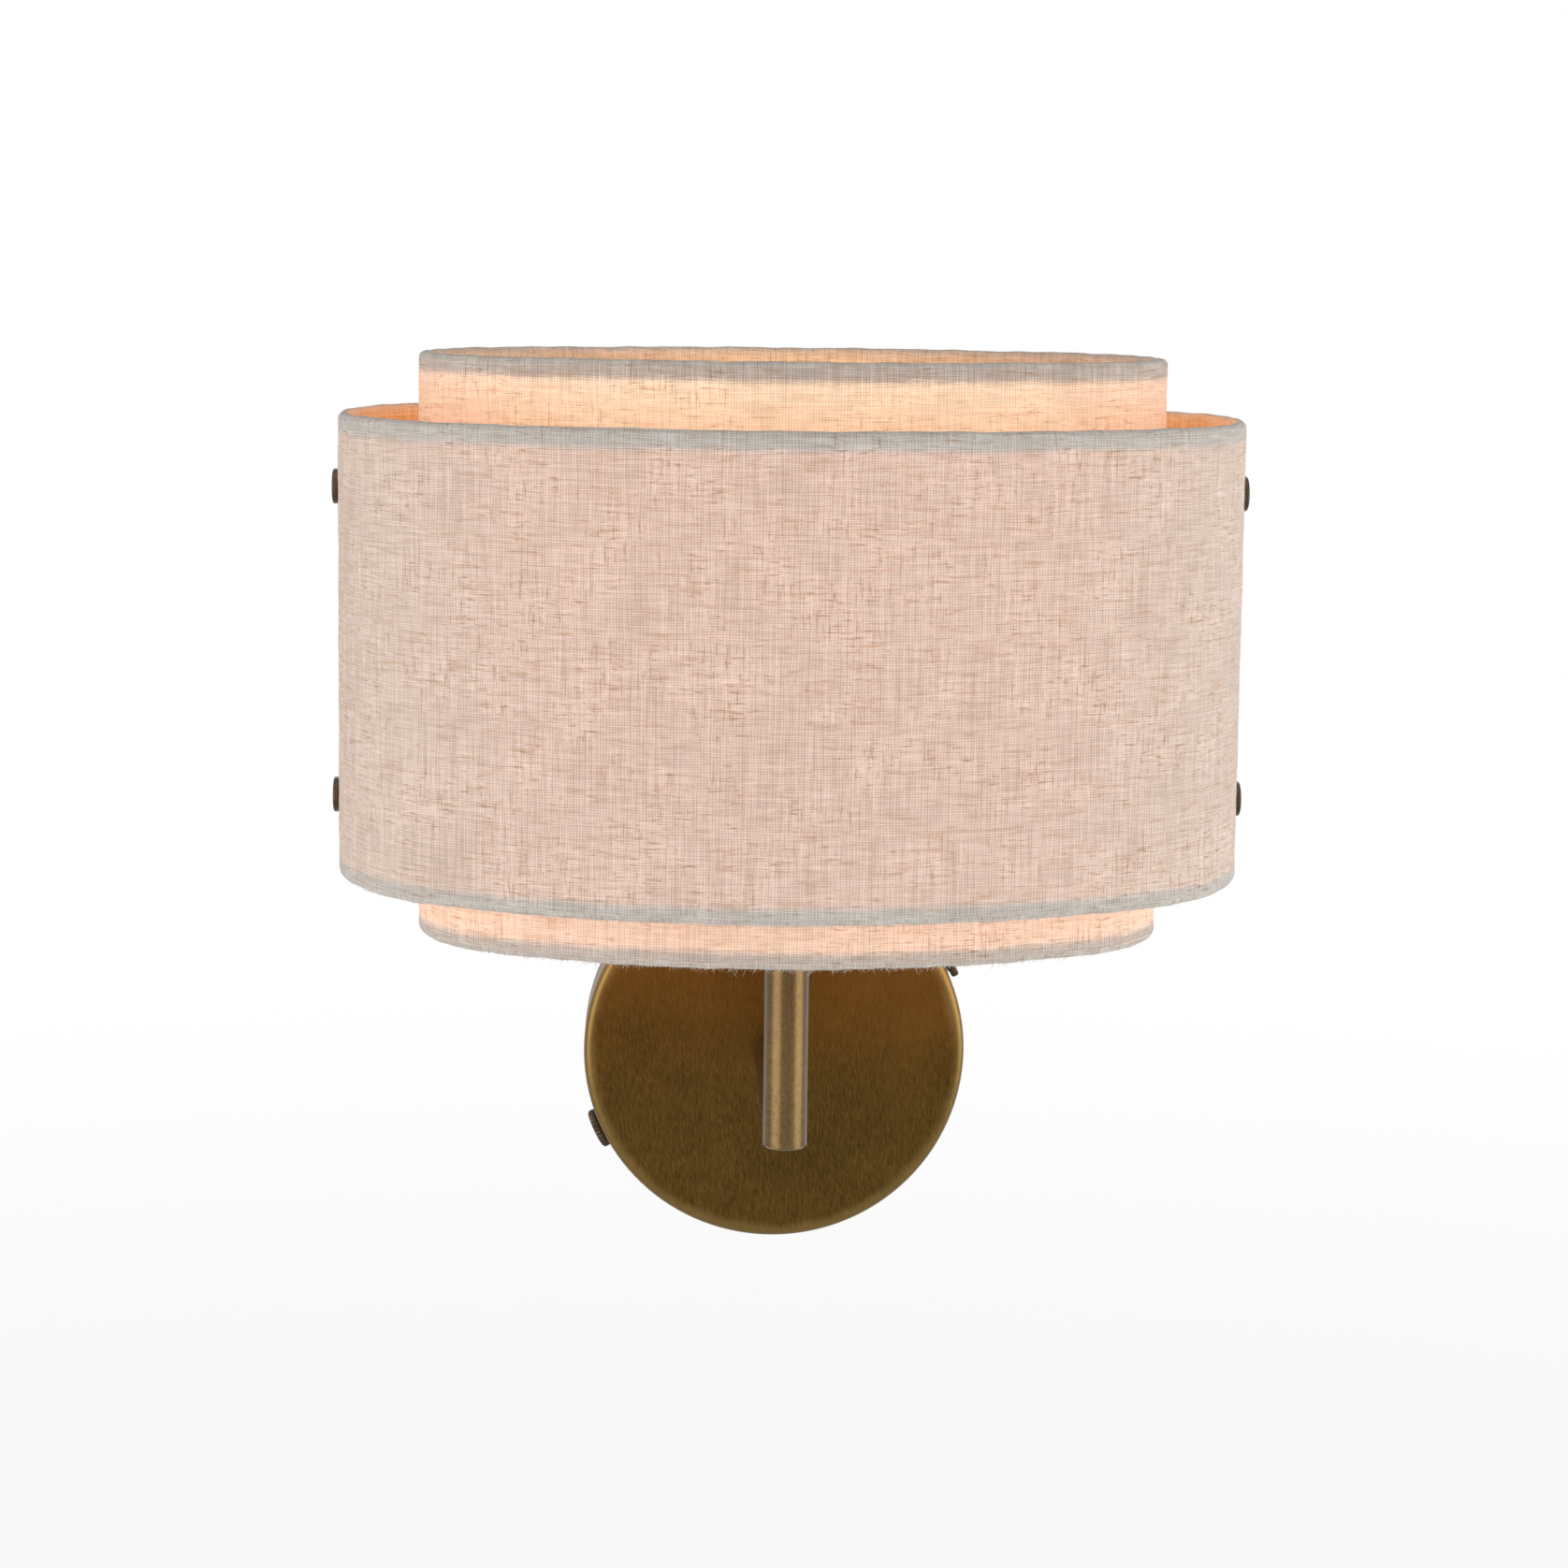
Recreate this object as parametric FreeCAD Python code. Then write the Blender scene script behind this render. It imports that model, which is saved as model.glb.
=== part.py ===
import FreeCAD, Part
import math
import os

# A wall light with two oval linen shades, one inside the other, on a brass tube and round wall plate.
# Millimetres. The wall is the plane y = 0, the light reaches towards -Y, +Z is up and +X is to the
# right of someone who faces the wall. The origin is the middle of the wall plate.

V = FreeCAD.Vector
X = V(1, 0, 0)
Y = V(0, 1, 0)
Z = V(0, 0, 1)
ORIGIN = V(0, 0, 0)

# Fits
seat_gap = 0.05            # between curved faces that bear on each other
thread_gap = 0.05          # radial, screw in its own thread
hole_gap = 0.3             # radial, screw through a plain hole
cut_past = 1.0             # length by which a cutter runs past the wall it cuts

# Wall plate
canopy_radius = 60.0
canopy_depth = 22.0
canopy_wall = 1.5
canopy_edge_round = 2.5
lip_curl = 0.6             # rounding of the rim that lies on the wall

# Bracket on the wall
bracket_angle = 26.7       # lean of the bracket, so its screws stand at the lower left and upper right
bracket_width = 16.0
bracket_steel = 2.0
bracket_bend = 1.5         # inside radius of the bends
bracket_hub_radius = 17.0
bracket_tab_reach = 16.0
wall_hole_pitch = 60.0
wall_hole_radius = 2.3
tongue_length = 55.0
cable_hole_radius = 8.0
bush_flange = 2.0
bush_flange_thickness = 1.5
bush_bore_radius = 4.5

# Thumb screws
thumb_setback = 11.0       # screw axis from the wall
thumb_shank_radius = 2.0
thumb_shank_length = 9.0
thumb_collar_radius = 4.0
thumb_collar_height = 0.8
thumb_head_radius = 6.25
thumb_head_thickness = 3.2
thumb_head_chamfer = 0.5
knurl_depth = 0.4
knurl_count = 30

# Terminal block
block_width = 26.0
block_height = 16.0
block_depth = 9.0
block_top = 26.0           # distance of its upper face below the middle of the plate
block_round = 1.0
pole_pitch = 8.5
pole_bore_radius = 1.35
pole_axis_height = 4.5     # wire bores above the block's foot
tower_radius = 2.9
tower_height = 3.0
tower_offset = 4.6         # screw towers each side of the block's middle
pole_screw_radius = 1.5
pole_screw_length = 2.6
screw_slot = 0.5
block_screw_radius = 1.5
block_screw_head = 2.7
block_screw_head_height = 1.6

# Earth screw and tag
earth_offset = 22.0        # along the bracket
earth_screw_radius = 2.0
earth_head_radius = 3.8
earth_head_height = 2.2
tag_radius = 4.2
tag_thickness = 0.8
tag_barrel_radius = 1.5
tag_barrel_length = 6.5

# Wires
wire_radius = 1.0
wire_spread = 1.3          # each wire beside the tube's axis
wire_bend = 6.0
wire_entry = 5.0           # length inside a terminal
wire_rise = 9.0            # straight length above the terminal block
earth_bend = 4.0
earth_drop = 20.0          # lowest run of the earth wire below the middle of the plate

# Arm
arm_reach = 105.0          # upright's axis from the wall
tube_radius = 6.5
tube_wall = 1.5
upright_length = 78.5
upright_wire_hole = 4.0    # radius of the hole between the two tubes
plug_disc = 1.6
plug_spigot = 4.5
plug_chamfer = 0.6
nipple_bore_radius = 3.5
nipple_grip = 12.0         # length screwed into a tube
nipple_end = 1.5           # length that stands past its nut
nut_across_flats = 14.0
nut_thickness = 4.0
washer_radius = 10.0
washer_thickness = 1.5

# Shades: the plan is an oval of four tangent arcs
outer_half_width = 128.0
outer_half_depth = 78.0
outer_end_radius = 62.0
outer_height = 131.0
shade_spacing = 22.5       # outer face of one shade to outer face of the other
inner_height = 165.0
shade_rise = 66.5          # middle of both shades above the top of the upright
linen = 0.6
liner = 0.4
ring_radius = 1.0
hem_height = 5.0

# Studs through the narrow ends
stud_pitch = 88.0
stud_radius = 2.0
stud_head_radius = 5.0
stud_head_rim = 0.6
stud_head_dome = 1.0
stud_end = 1.5             # length that stands past its nut
spacer_radius = 5.0
shade_nut_flats = 7.0
shade_nut_thickness = 3.2

# Carrier that holds the shades
carrier_width = 12.0
carrier_steel = 2.0
carrier_bend = 3.0
carrier_hub_radius = 14.0
carrier_end = 8.0          # strip above the upper studs

# Lampholder
holder_radius = 20.0
holder_foot_radius = 12.0
holder_floor = 3.0
holder_cone = 9.0
holder_foot_round = 1.0
holder_cone_round = 2.0
holder_base_height = 12.0
holder_neck_height = 6.0
holder_neck_wall = 1.2
holder_sleeve_wall = 1.7
holder_ledge = 2.0
holder_ledge_height = 11.0
contact_block_height = 10.0
contact_radius = 4.0
contact_thickness = 1.0
shell_wall = 0.5
shell_height = 22.5
holder_mouth_gap = 0.3     # holder's mouth round the screw shell
holder_lip = 1.8
holder_rim_round = 0.8
flute_count = 24
flute_radius = 1.0
flute_depth = 0.45
flute_margin = 2.5         # plain sleeve below and above the flutes

# Bulb
bulb_radius = 30.0
bulb_length = 105.0
bulb_wall = 0.8
bulb_neck_radius = 12.6
bulb_neck_start = 23.0     # straight neck's upper end above the tip
bulb_neck_grip = 4.0       # neck inside the cap
cap_crest_radius = 13.2
cap_root_radius = 12.5
cap_wall = 0.5
cap_thread_start = 5.5
cap_pitch = 3.6
cap_turns = 4
cap_skirt = 5.0
tip_radius = 4.6
tip_height = 1.5
insulator_height = 2.5
insulator_foot_radius = 6.0
stem_radius = 4.0
stem_flare = 1.6           # thickness of the stem's foot, which narrows over twice as much again
stem_length = 60.0
filament_radius = 1.0
filament_length = 38.0
filament_circle = 8.0
filament_lean = 9.0
filament_count = 4

# Places that follow from the sizes above
tube_bore = tube_radius - tube_wall
nipple_radius = tube_bore - thread_gap
upright_foot = -tube_radius
upright_top = upright_foot + plug_disc + upright_length
upright_axis = V(0, -arm_reach, 0)
canopy_bore = canopy_radius - canopy_wall
carrier_top = upright_top + carrier_steel
holder_foot = carrier_top + washer_thickness
contact_foot = holder_foot + holder_ledge_height
shell_foot = contact_foot + contact_block_height
bulb_foot = shell_foot + contact_thickness
shade_middle = upright_top + shade_rise
roll_radius = (2 * linen + liner + 3 * seat_gap) / 2 + ring_radius
inner_half_width = outer_half_width - shade_spacing
inner_half_depth = outer_half_depth - shade_spacing
inner_end_radius = outer_end_radius - shade_spacing
shade_skin = linen + seat_gap + liner
end_centre = outer_half_width - outer_end_radius
inner_lining = inner_end_radius - shade_skin
carrier_face = end_centre + math.sqrt(inner_lining ** 2 - (carrier_width / 2) ** 2) - seat_gap
block_middle = -(block_top + block_height / 2)
screw_shell_bore = cap_crest_radius + 2 * thread_gap
barrel_start = earth_head_radius + seat_gap


def rounded_chain(points, rounds, closed):
    """Straight edges through the points, with a tangent arc of rounds[i] at corner i."""
    count = len(points)
    starts = list(points)
    ends = list(points)
    arcs = [None] * count
    for i, radius in rounds.items():
        corner = points[i]
        back = (points[i - 1] - corner).normalize()
        ahead = (points[(i + 1) % count] - corner).normalize()
        half = back.getAngle(ahead) / 2
        reach = radius / math.tan(half)
        middle = (back + ahead).normalize() * (radius / math.sin(half) - radius)
        ends[i] = corner + back * reach
        starts[i] = corner + ahead * reach
        arcs[i] = Part.Arc(ends[i], corner + middle, starts[i]).toShape()
    edges = []
    for i in range(count):
        if arcs[i]:
            edges.append(arcs[i])
        following = (i + 1) % count
        if (closed or following) and (ends[following] - starts[i]).Length > 1e-6:
            edges.append(Part.makeLine(starts[i], ends[following]))
    return edges


def flat_face(points, rounds=None):
    """Face inside a closed outline."""
    return Part.Face(Part.Wire(rounded_chain(points, rounds or {}, True)))


def outward(piece):
    """The same solid with its faces turned outwards."""
    if piece.Volume < 0:
        piece.reverse()
    return piece


def turned(profile, along=Z, foot=ORIGIN, rounds=None):
    """Solid of revolution from (radius, height) points about an axis through foot."""
    side = Z if abs(along.x) > 0.5 else X
    points = [foot + side * radius + along * height for radius, height in profile]
    return outward(flat_face(points, rounds).revolve(foot, along, 360))


def tube(radius, bore, length, foot, along):
    """Round tube with square ends."""
    wall = Part.makeCylinder(radius, length, foot, along)
    return wall.cut(Part.makeCylinder(bore, length, foot, along))


def hexagon(across_flats, thickness, bore, foot, along, side):
    """Hexagon nut with a plain bore, one corner towards side."""
    corner = side * (across_flats / math.sqrt(3))
    points = [foot + FreeCAD.Rotation(along, 60 * i).multVec(corner) for i in range(6)]
    nut = flat_face(points).extrude(along * thickness)
    return nut.cut(Part.makeCylinder(bore, thickness, foot, along))


def lean(piece):
    """Turn a piece drawn along X to the bracket's lean."""
    return piece.rotated(ORIGIN, Y, -bracket_angle)


def lean_point(x, y, z):
    """A point drawn beside the upright bracket, at the bracket's lean."""
    return FreeCAD.Rotation(Y, -bracket_angle).multVec(V(x, y, z))


def save(name, piece):
    """Write one node, and stop if it is not sound."""
    if not piece.isValid() or piece.Volume <= 0:
        raise ValueError("unsound piece: " + name)
    piece.exportStep("parts/" + name + ".step")


def group(pieces):
    """Identical fasteners as separate solids of one node."""
    return Part.makeCompound(pieces)


# ---- Wall side

def make_canopy():
    """Spun brass dish, open to the wall, with a middle hole and two side holes."""
    inside_round = canopy_edge_round - canopy_wall
    front = -canopy_depth
    profile = [
        (canopy_radius, 0),
        (canopy_radius, front),
        (nipple_radius + thread_gap, front),
        (nipple_radius + thread_gap, front + canopy_wall),
        (canopy_bore, front + canopy_wall),
        (canopy_bore, 0),
    ]
    rounds = {0: lip_curl, 1: canopy_edge_round, 4: inside_round}
    dish = turned(profile, Y, ORIGIN, rounds)
    for side in (-1, 1):
        start = lean_point(0, -thumb_setback, 0)
        out = lean_point(side, 0, 0)
        length = canopy_radius + cut_past
        dish = dish.cut(Part.makeCylinder(thumb_shank_radius + hole_gap, length, start, out))
    return dish


def bracket_tab_face():
    """Distance of a tab's outer face from the plate's middle."""
    return math.sqrt(canopy_bore ** 2 - (bracket_width / 2) ** 2) - seat_gap


def make_wall_bracket():
    """Steel strip with two bent tabs, a round hub for the cable and a tongue for the terminal block."""
    face = bracket_tab_face()
    inner = face - bracket_steel
    half = bracket_width / 2
    corners = [
        (face, -bracket_tab_reach), (face, 0), (-face, 0), (-face, -bracket_tab_reach),
        (-inner, -bracket_tab_reach), (-inner, -bracket_steel),
        (inner, -bracket_steel), (inner, -bracket_tab_reach),
    ]
    outer_bend = bracket_bend + bracket_steel
    rounds = {1: outer_bend, 2: outer_bend, 5: bracket_bend, 6: bracket_bend}
    strip = flat_face([V(x, y, -half) for x, y in corners], rounds).extrude(Z * bracket_width)
    front = V(0, -bracket_steel, 0)
    hub = Part.makeCylinder(bracket_hub_radius, bracket_steel, front, Y)
    tongue_end = V(0, -bracket_steel, half - tongue_length)
    tongue = Part.makeBox(bracket_width, bracket_steel, tongue_length - half, tongue_end - X * half)
    tip = Part.makeCylinder(half, bracket_steel, tongue_end, Y)
    bracket = strip.fuse([hub, tongue, tip]).removeSplitter()
    holes = [Part.makeCylinder(cable_hole_radius, bracket_steel, front, Y)]
    tab_hole = V(0, -thumb_setback, 0)
    tab_bore = thumb_shank_radius + thread_gap
    for side in (-1, 1):
        wall_hole = front + X * (side * wall_hole_pitch / 2)
        holes.append(Part.makeCylinder(wall_hole_radius, bracket_steel, wall_hole, Y))
        holes.append(Part.makeCylinder(tab_bore, face + cut_past, tab_hole, X * side))
        block_hole = front + V(side * pole_pitch / 2, 0, block_middle)
        holes.append(Part.makeCylinder(block_screw_radius + thread_gap, bracket_steel, block_hole, Y))
    earth_hole = front + X * earth_offset
    holes.append(Part.makeCylinder(earth_screw_radius + thread_gap, bracket_steel, earth_hole, Y))
    return lean(bracket.cut(holes))


def make_cable_bush():
    """Rubber bush pushed into the hub's cable hole."""
    spigot = cable_hole_radius - seat_gap
    flange = cable_hole_radius + bush_flange
    front = -bracket_steel - bush_flange_thickness
    profile = [
        (bush_bore_radius, 0), (spigot, 0), (spigot, -bracket_steel),
        (flange, -bracket_steel), (flange, front), (bush_bore_radius, front),
    ]
    return turned(profile, Y, ORIGIN, {4: bush_flange_thickness / 2})


def make_thumb_screw(side):
    """Knurled brass thumb screw through the plate's side wall into the bracket's tab."""
    along = X * side
    foot = along * (canopy_radius + seat_gap) - Y * thumb_setback
    head_foot = foot + along * thumb_collar_height
    points = []
    for i in range(2 * knurl_count):
        radius = thumb_head_radius - knurl_depth * (i % 2)
        turn = FreeCAD.Rotation(along, 180.0 * i / knurl_count)
        points.append(head_foot + turn.multVec(Z * radius))
    head = outward(flat_face(points).extrude(along * thumb_head_thickness))
    bevel = thumb_head_radius - thumb_head_chamfer
    top = thumb_head_thickness
    profile = [
        (0, 0), (bevel, 0), (thumb_head_radius, thumb_head_chamfer),
        (thumb_head_radius, top - thumb_head_chamfer), (bevel, top), (0, top),
    ]
    blank = turned(profile, along, head_foot)
    collar = Part.makeCylinder(thumb_collar_radius, thumb_collar_height, foot, along)
    shank = Part.makeCylinder(thumb_shank_radius, thumb_shank_length, foot, -along)
    return lean(head.common(blank).fuse([collar, shank]).removeSplitter())


def block_corner(x, height):
    """A point beside the terminal block: x along the bracket, height above the block's middle."""
    return V(x, -bracket_steel - block_depth, block_middle + height)


def pole_places():
    """The three poles' offsets along the bracket."""
    return (-pole_pitch, 0, pole_pitch)


def make_terminal_block():
    """Three-pole block with a wire bore through each pole and a screw tower over each wire."""
    half = block_width / 2
    rise = block_height / 2
    foot = [V(x, -bracket_steel, block_middle + z) for x, z in
            ((-half, -rise), (half, -rise), (half, rise), (-half, rise))]
    block = flat_face(foot, {0: block_round, 1: block_round, 2: block_round, 3: block_round})
    block = block.extrude(-Y * block_depth)
    holes = []
    towers = []
    screw_depth = pole_screw_length + tower_height / 2
    screw_bore = pole_screw_radius + thread_gap
    for x in pole_places():
        start = V(x, -bracket_steel - pole_axis_height, block_middle - rise)
        holes.append(Part.makeCylinder(pole_bore_radius, block_height, start, Z))
        for side in (-1, 1):
            mouth = block_corner(x, side * tower_offset)
            towers.append(Part.makeCylinder(tower_radius, tower_height, mouth, -Y))
            holes.append(Part.makeCylinder(screw_bore, screw_depth, mouth - Y * tower_height, Y))
    for side in (-1, 1):
        start = block_corner(side * pole_pitch / 2, 0)
        holes.append(Part.makeCylinder(block_screw_radius + hole_gap, block_depth, start, Y))
    return lean(block.fuse(towers).removeSplitter().cut(holes))


def slotted(screw, foot, radius, depth):
    """Cut a screwdriver slot along X into a screw's end that faces -Y."""
    start = foot - X * radius - Z * (screw_slot / 2)
    return screw.cut(Part.makeBox(2 * radius, depth, screw_slot, start))


def make_terminal_screws():
    """Six grub screws down the block's towers."""
    screws = []
    for x in pole_places():
        for side in (-1, 1):
            mouth = block_corner(x, side * tower_offset) - Y * (tower_height / 2)
            screw = Part.makeCylinder(pole_screw_radius, pole_screw_length, mouth, Y)
            screws.append(lean(slotted(screw, mouth, pole_screw_radius, screw_slot)))
    return group(screws)


def make_block_screws():
    """Two screws that hold the terminal block on the bracket's tongue."""
    screws = []
    for side in (-1, 1):
        seat = block_corner(side * pole_pitch / 2, 0)
        length = block_depth + bracket_steel
        head = Part.makeCylinder(block_screw_head, block_screw_head_height, seat, -Y)
        shank = Part.makeCylinder(block_screw_radius, length, seat, Y)
        screw = head.fuse(shank).removeSplitter()
        crown = seat - Y * block_screw_head_height
        screws.append(lean(slotted(screw, crown, block_screw_head, screw_slot)))
    return group(screws)


def make_earth_tag():
    """Crimped ring tag under the earth screw, with its barrel pointing down."""
    seat = V(earth_offset, -bracket_steel, 0)
    ring = tube(tag_radius, earth_screw_radius + hole_gap, tag_thickness, seat, -Y)
    start = seat - Y * tag_barrel_radius - Z * barrel_start
    barrel = Part.makeCylinder(tag_barrel_radius, tag_barrel_length, start, -Z)
    return lean(ring.fuse(barrel).removeSplitter())


def make_earth_screw():
    """Slotted cheese-head screw that clamps the tag to the bracket."""
    seat = V(earth_offset, -bracket_steel - tag_thickness, 0)
    head = Part.makeCylinder(earth_head_radius, earth_head_height, seat, -Y)
    shank = Part.makeCylinder(earth_screw_radius, tag_thickness + bracket_steel, seat, Y)
    crown = seat - Y * earth_head_height
    return lean(slotted(head.fuse(shank).removeSplitter(), crown, earth_head_radius, screw_slot))


# ---- Wires

def wire_along(points, bend):
    """Round wire along straight runs joined by tangent arcs."""
    rounds = {i: bend for i in range(1, len(points) - 1)}
    path = Part.Wire(rounded_chain(points, rounds, False))
    first = (points[1] - points[0]).normalize()
    ring = Part.Wire(Part.makeCircle(wire_radius, points[0], first))
    wire = outward(path.makePipeShell([ring], True, False))
    share = wire.Volume / (math.pi * wire_radius ** 2 * path.Length)
    print("wire length %.1f, volume over section times length %.4f" % (path.Length, share))
    return wire


def terminal_start(x):
    """Inner end and mouth of a wire that leaves the block's upper face at pole x."""
    depth = -bracket_steel - pole_axis_height
    return lean_point(x, depth, -block_top - wire_entry), lean_point(x, depth, wire_rise - block_top)


def make_supply_wire(pole, side):
    """Wire from a pole, through the nipple, stub and upright, to the contact block."""
    start, mouth = terminal_start(pole)
    x = side * wire_spread
    turn = V(x, -bracket_steel - pole_axis_height, 0)
    elbow = V(x, -arm_reach, 0)
    end = V(x, -arm_reach, contact_foot)
    return wire_along([start, mouth, turn, elbow, end], wire_bend)


def make_earth_wire():
    """Short wire from the third pole to the barrel of the earth tag."""
    depth = -bracket_steel - pole_axis_height
    barrel_end = -(barrel_start + tag_barrel_length)
    barrel_depth = -bracket_steel - tag_barrel_radius
    points = [
        lean_point(pole_pitch, depth, -block_top - wire_entry),
        lean_point(pole_pitch, depth, -earth_drop),
        lean_point(earth_offset, barrel_depth, -earth_drop),
        lean_point(earth_offset, barrel_depth, barrel_end),
    ]
    return wire_along(points, earth_bend)


# ---- Arm

def make_canopy_nipple():
    """Threaded tube that joins the stub to the wall plate."""
    length = nipple_grip + canopy_wall + washer_thickness + nut_thickness + nipple_end
    return tube(nipple_radius, nipple_bore_radius, length, -Y * (canopy_depth + nipple_grip), Y)


def make_canopy_washer():
    """Plain washer inside the wall plate."""
    seat = -Y * (canopy_depth - canopy_wall)
    return tube(washer_radius, nipple_radius + thread_gap, washer_thickness, seat, Y)


def make_canopy_nut():
    """Hexagon nut that pulls the stub against the wall plate."""
    seat = -Y * (canopy_depth - canopy_wall - washer_thickness)
    return hexagon(nut_across_flats, nut_thickness, nipple_radius + thread_gap, seat, Y, X)


def make_stub_tube():
    """Level tube from the wall plate, its far end coped to sit on the upright."""
    length = arm_reach - canopy_depth
    level = tube(tube_radius, tube_bore, length, -Y * canopy_depth, -Y)
    below = upright_axis - Z * (2 * tube_radius)
    saddle = Part.makeCylinder(tube_radius + seat_gap, 4 * tube_radius, below, Z)
    return level.cut(saddle).Solids[0]


def make_upright_tube():
    """Upright tube with a side hole for the wires."""
    foot = upright_axis + Z * (upright_foot + plug_disc)
    upright = tube(tube_radius, tube_bore, upright_length, foot, Z)
    return upright.cut(Part.makeCylinder(upright_wire_hole, arm_reach, upright_axis, Y))


def make_tube_end_plug():
    """Turned plug in the upright's lower end, with a bevelled disc and a hollow spigot."""
    foot = upright_axis + Z * upright_foot
    spigot = tube_bore - seat_gap
    profile = [
        (0, 0), (tube_radius - plug_chamfer, 0), (tube_radius, plug_chamfer), (tube_radius, plug_disc),
        (spigot, plug_disc), (spigot, plug_spigot), (0, plug_spigot),
    ]
    return turned(profile, Z, foot)


def make_top_nipple():
    """Threaded tube that clamps the carrier between the upright and the lampholder."""
    length = nipple_grip + carrier_steel + washer_thickness + holder_floor
    foot = upright_axis + Z * (upright_top - nipple_grip)
    return tube(nipple_radius, nipple_bore_radius, length, foot, Z)


# ---- Shade carrier

def stud_heights():
    """Heights of the lower and the upper studs."""
    return (shade_middle - stud_pitch / 2, shade_middle + stud_pitch / 2)


def make_shade_carrier():
    """Steel strip bent to a U, with a round hub on the tube and a leg behind each end of the shades."""
    top = stud_heights()[1] + carrier_end
    half = carrier_width / 2
    inner = carrier_face - carrier_steel
    back = V(0, half - arm_reach, 0)
    corners = [
        (carrier_face, top), (carrier_face, upright_top), (-carrier_face, upright_top), (-carrier_face, top),
        (-inner, top), (-inner, carrier_top), (inner, carrier_top), (inner, top),
    ]
    outer_bend = carrier_bend + carrier_steel
    rounds = {1: outer_bend, 2: outer_bend, 5: carrier_bend, 6: carrier_bend}
    strip = flat_face([back + V(x, 0, z) for x, z in corners], rounds).extrude(-Y * carrier_width)
    foot = upright_axis + Z * upright_top
    hub = Part.makeCylinder(carrier_hub_radius, carrier_steel, foot, Z)
    holes = [Part.makeCylinder(nipple_radius + thread_gap, carrier_steel, foot, Z)]
    for height in stud_heights():
        across = upright_axis + Z * height - X * outer_half_width
        holes.append(Part.makeCylinder(stud_radius + thread_gap, 2 * outer_half_width, across, X))
    return strip.fuse(hub).removeSplitter().cut(holes)


def make_carrier_washer():
    """Washer between the carrier and the lampholder."""
    seat = upright_axis + Z * carrier_top
    return tube(washer_radius, nipple_radius + thread_gap, washer_thickness, seat, Z)


def stud_places():
    """Side and height of each of the four studs."""
    return [(side, height) for side in (-1, 1) for height in stud_heights()]


def outer_lining_reach():
    """Distance of the outer shade's lining from the upright where a spacer's edge meets it."""
    lining = outer_end_radius - shade_skin
    return end_centre + math.sqrt(lining ** 2 - spacer_radius ** 2)


def make_shade_spacers():
    """Four tubes that keep the two shades apart."""
    start = inner_half_width + seat_gap
    length = outer_lining_reach() - seat_gap - start
    spacers = []
    for side, height in stud_places():
        foot = V(side * start, -arm_reach, height)
        spacers.append(tube(spacer_radius, stud_radius + hole_gap, length, foot, X * side))
    return group(spacers)


def make_shade_studs():
    """Four domed bronze screws through both shades, the spacers and the carrier."""
    seat = outer_half_width + seat_gap
    inner_end = carrier_face - carrier_steel - shade_nut_thickness - stud_end
    dome_radius = (stud_head_radius ** 2 + stud_head_dome ** 2) / (2 * stud_head_dome)
    crown = stud_head_rim + stud_head_dome
    studs = []
    for side, height in stud_places():
        along = X * side
        foot = V(side * seat, -arm_reach, height)
        blank = Part.makeCylinder(stud_head_radius, crown, foot, along)
        ball = Part.makeSphere(dome_radius, foot + along * (crown - dome_radius))
        shank = Part.makeCylinder(stud_radius, seat - inner_end, foot, -along)
        studs.append(blank.common(ball).fuse(shank).removeSplitter())
    return group(studs)


def make_shade_nuts():
    """Four nuts on the studs, inside the carrier's legs."""
    nuts = []
    bore = stud_radius + thread_gap
    for side, height in stud_places():
        foot = V(side * (carrier_face - carrier_steel), -arm_reach, height)
        nuts.append(hexagon(shade_nut_flats, shade_nut_thickness, bore, foot, -X * side, Z))
    return group(nuts)


# ---- Shades

def oval_arcs(inset):
    """Centre, radius, first angle and span of the four arcs of the outer oval moved in by inset."""
    a = outer_half_width
    b = outer_half_depth
    r = outer_end_radius
    side_radius = (a * a + b * b - 2 * a * r) / (2 * (b - r))
    side_centre = side_radius - b
    meet = math.degrees(math.atan2(side_centre, end_centre))
    across = 180 - 2 * meet
    return [
        (V(end_centre, 0, 0), r - inset, -meet, 2 * meet),
        (V(0, -side_centre, 0), side_radius - inset, meet, across),
        (V(-end_centre, 0, 0), r - inset, 180 - meet, 2 * meet),
        (V(0, side_centre, 0), side_radius - inset, 180 + meet, across),
    ]


def round_oval(section, inset):
    """Carry a section round the oval: section(radius) draws it at that distance along X."""
    spans = []
    for centre, radius, first, span in oval_arcs(inset):
        middle = centre + upright_axis
        face = section(radius)
        face.translate(middle)
        face.rotate(middle, Z, first)
        spans.append(outward(face.revolve(middle, Z, span)))
    return spans[0].fuse(spans[1:]).removeSplitter()


def stud_holes(radius):
    """Cutters along the studs' two rows."""
    reach = outer_half_width + cut_past
    start = upright_axis - X * reach
    return [Part.makeCylinder(radius, 2 * reach, start + Z * height, X) for height in stud_heights()]


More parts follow.
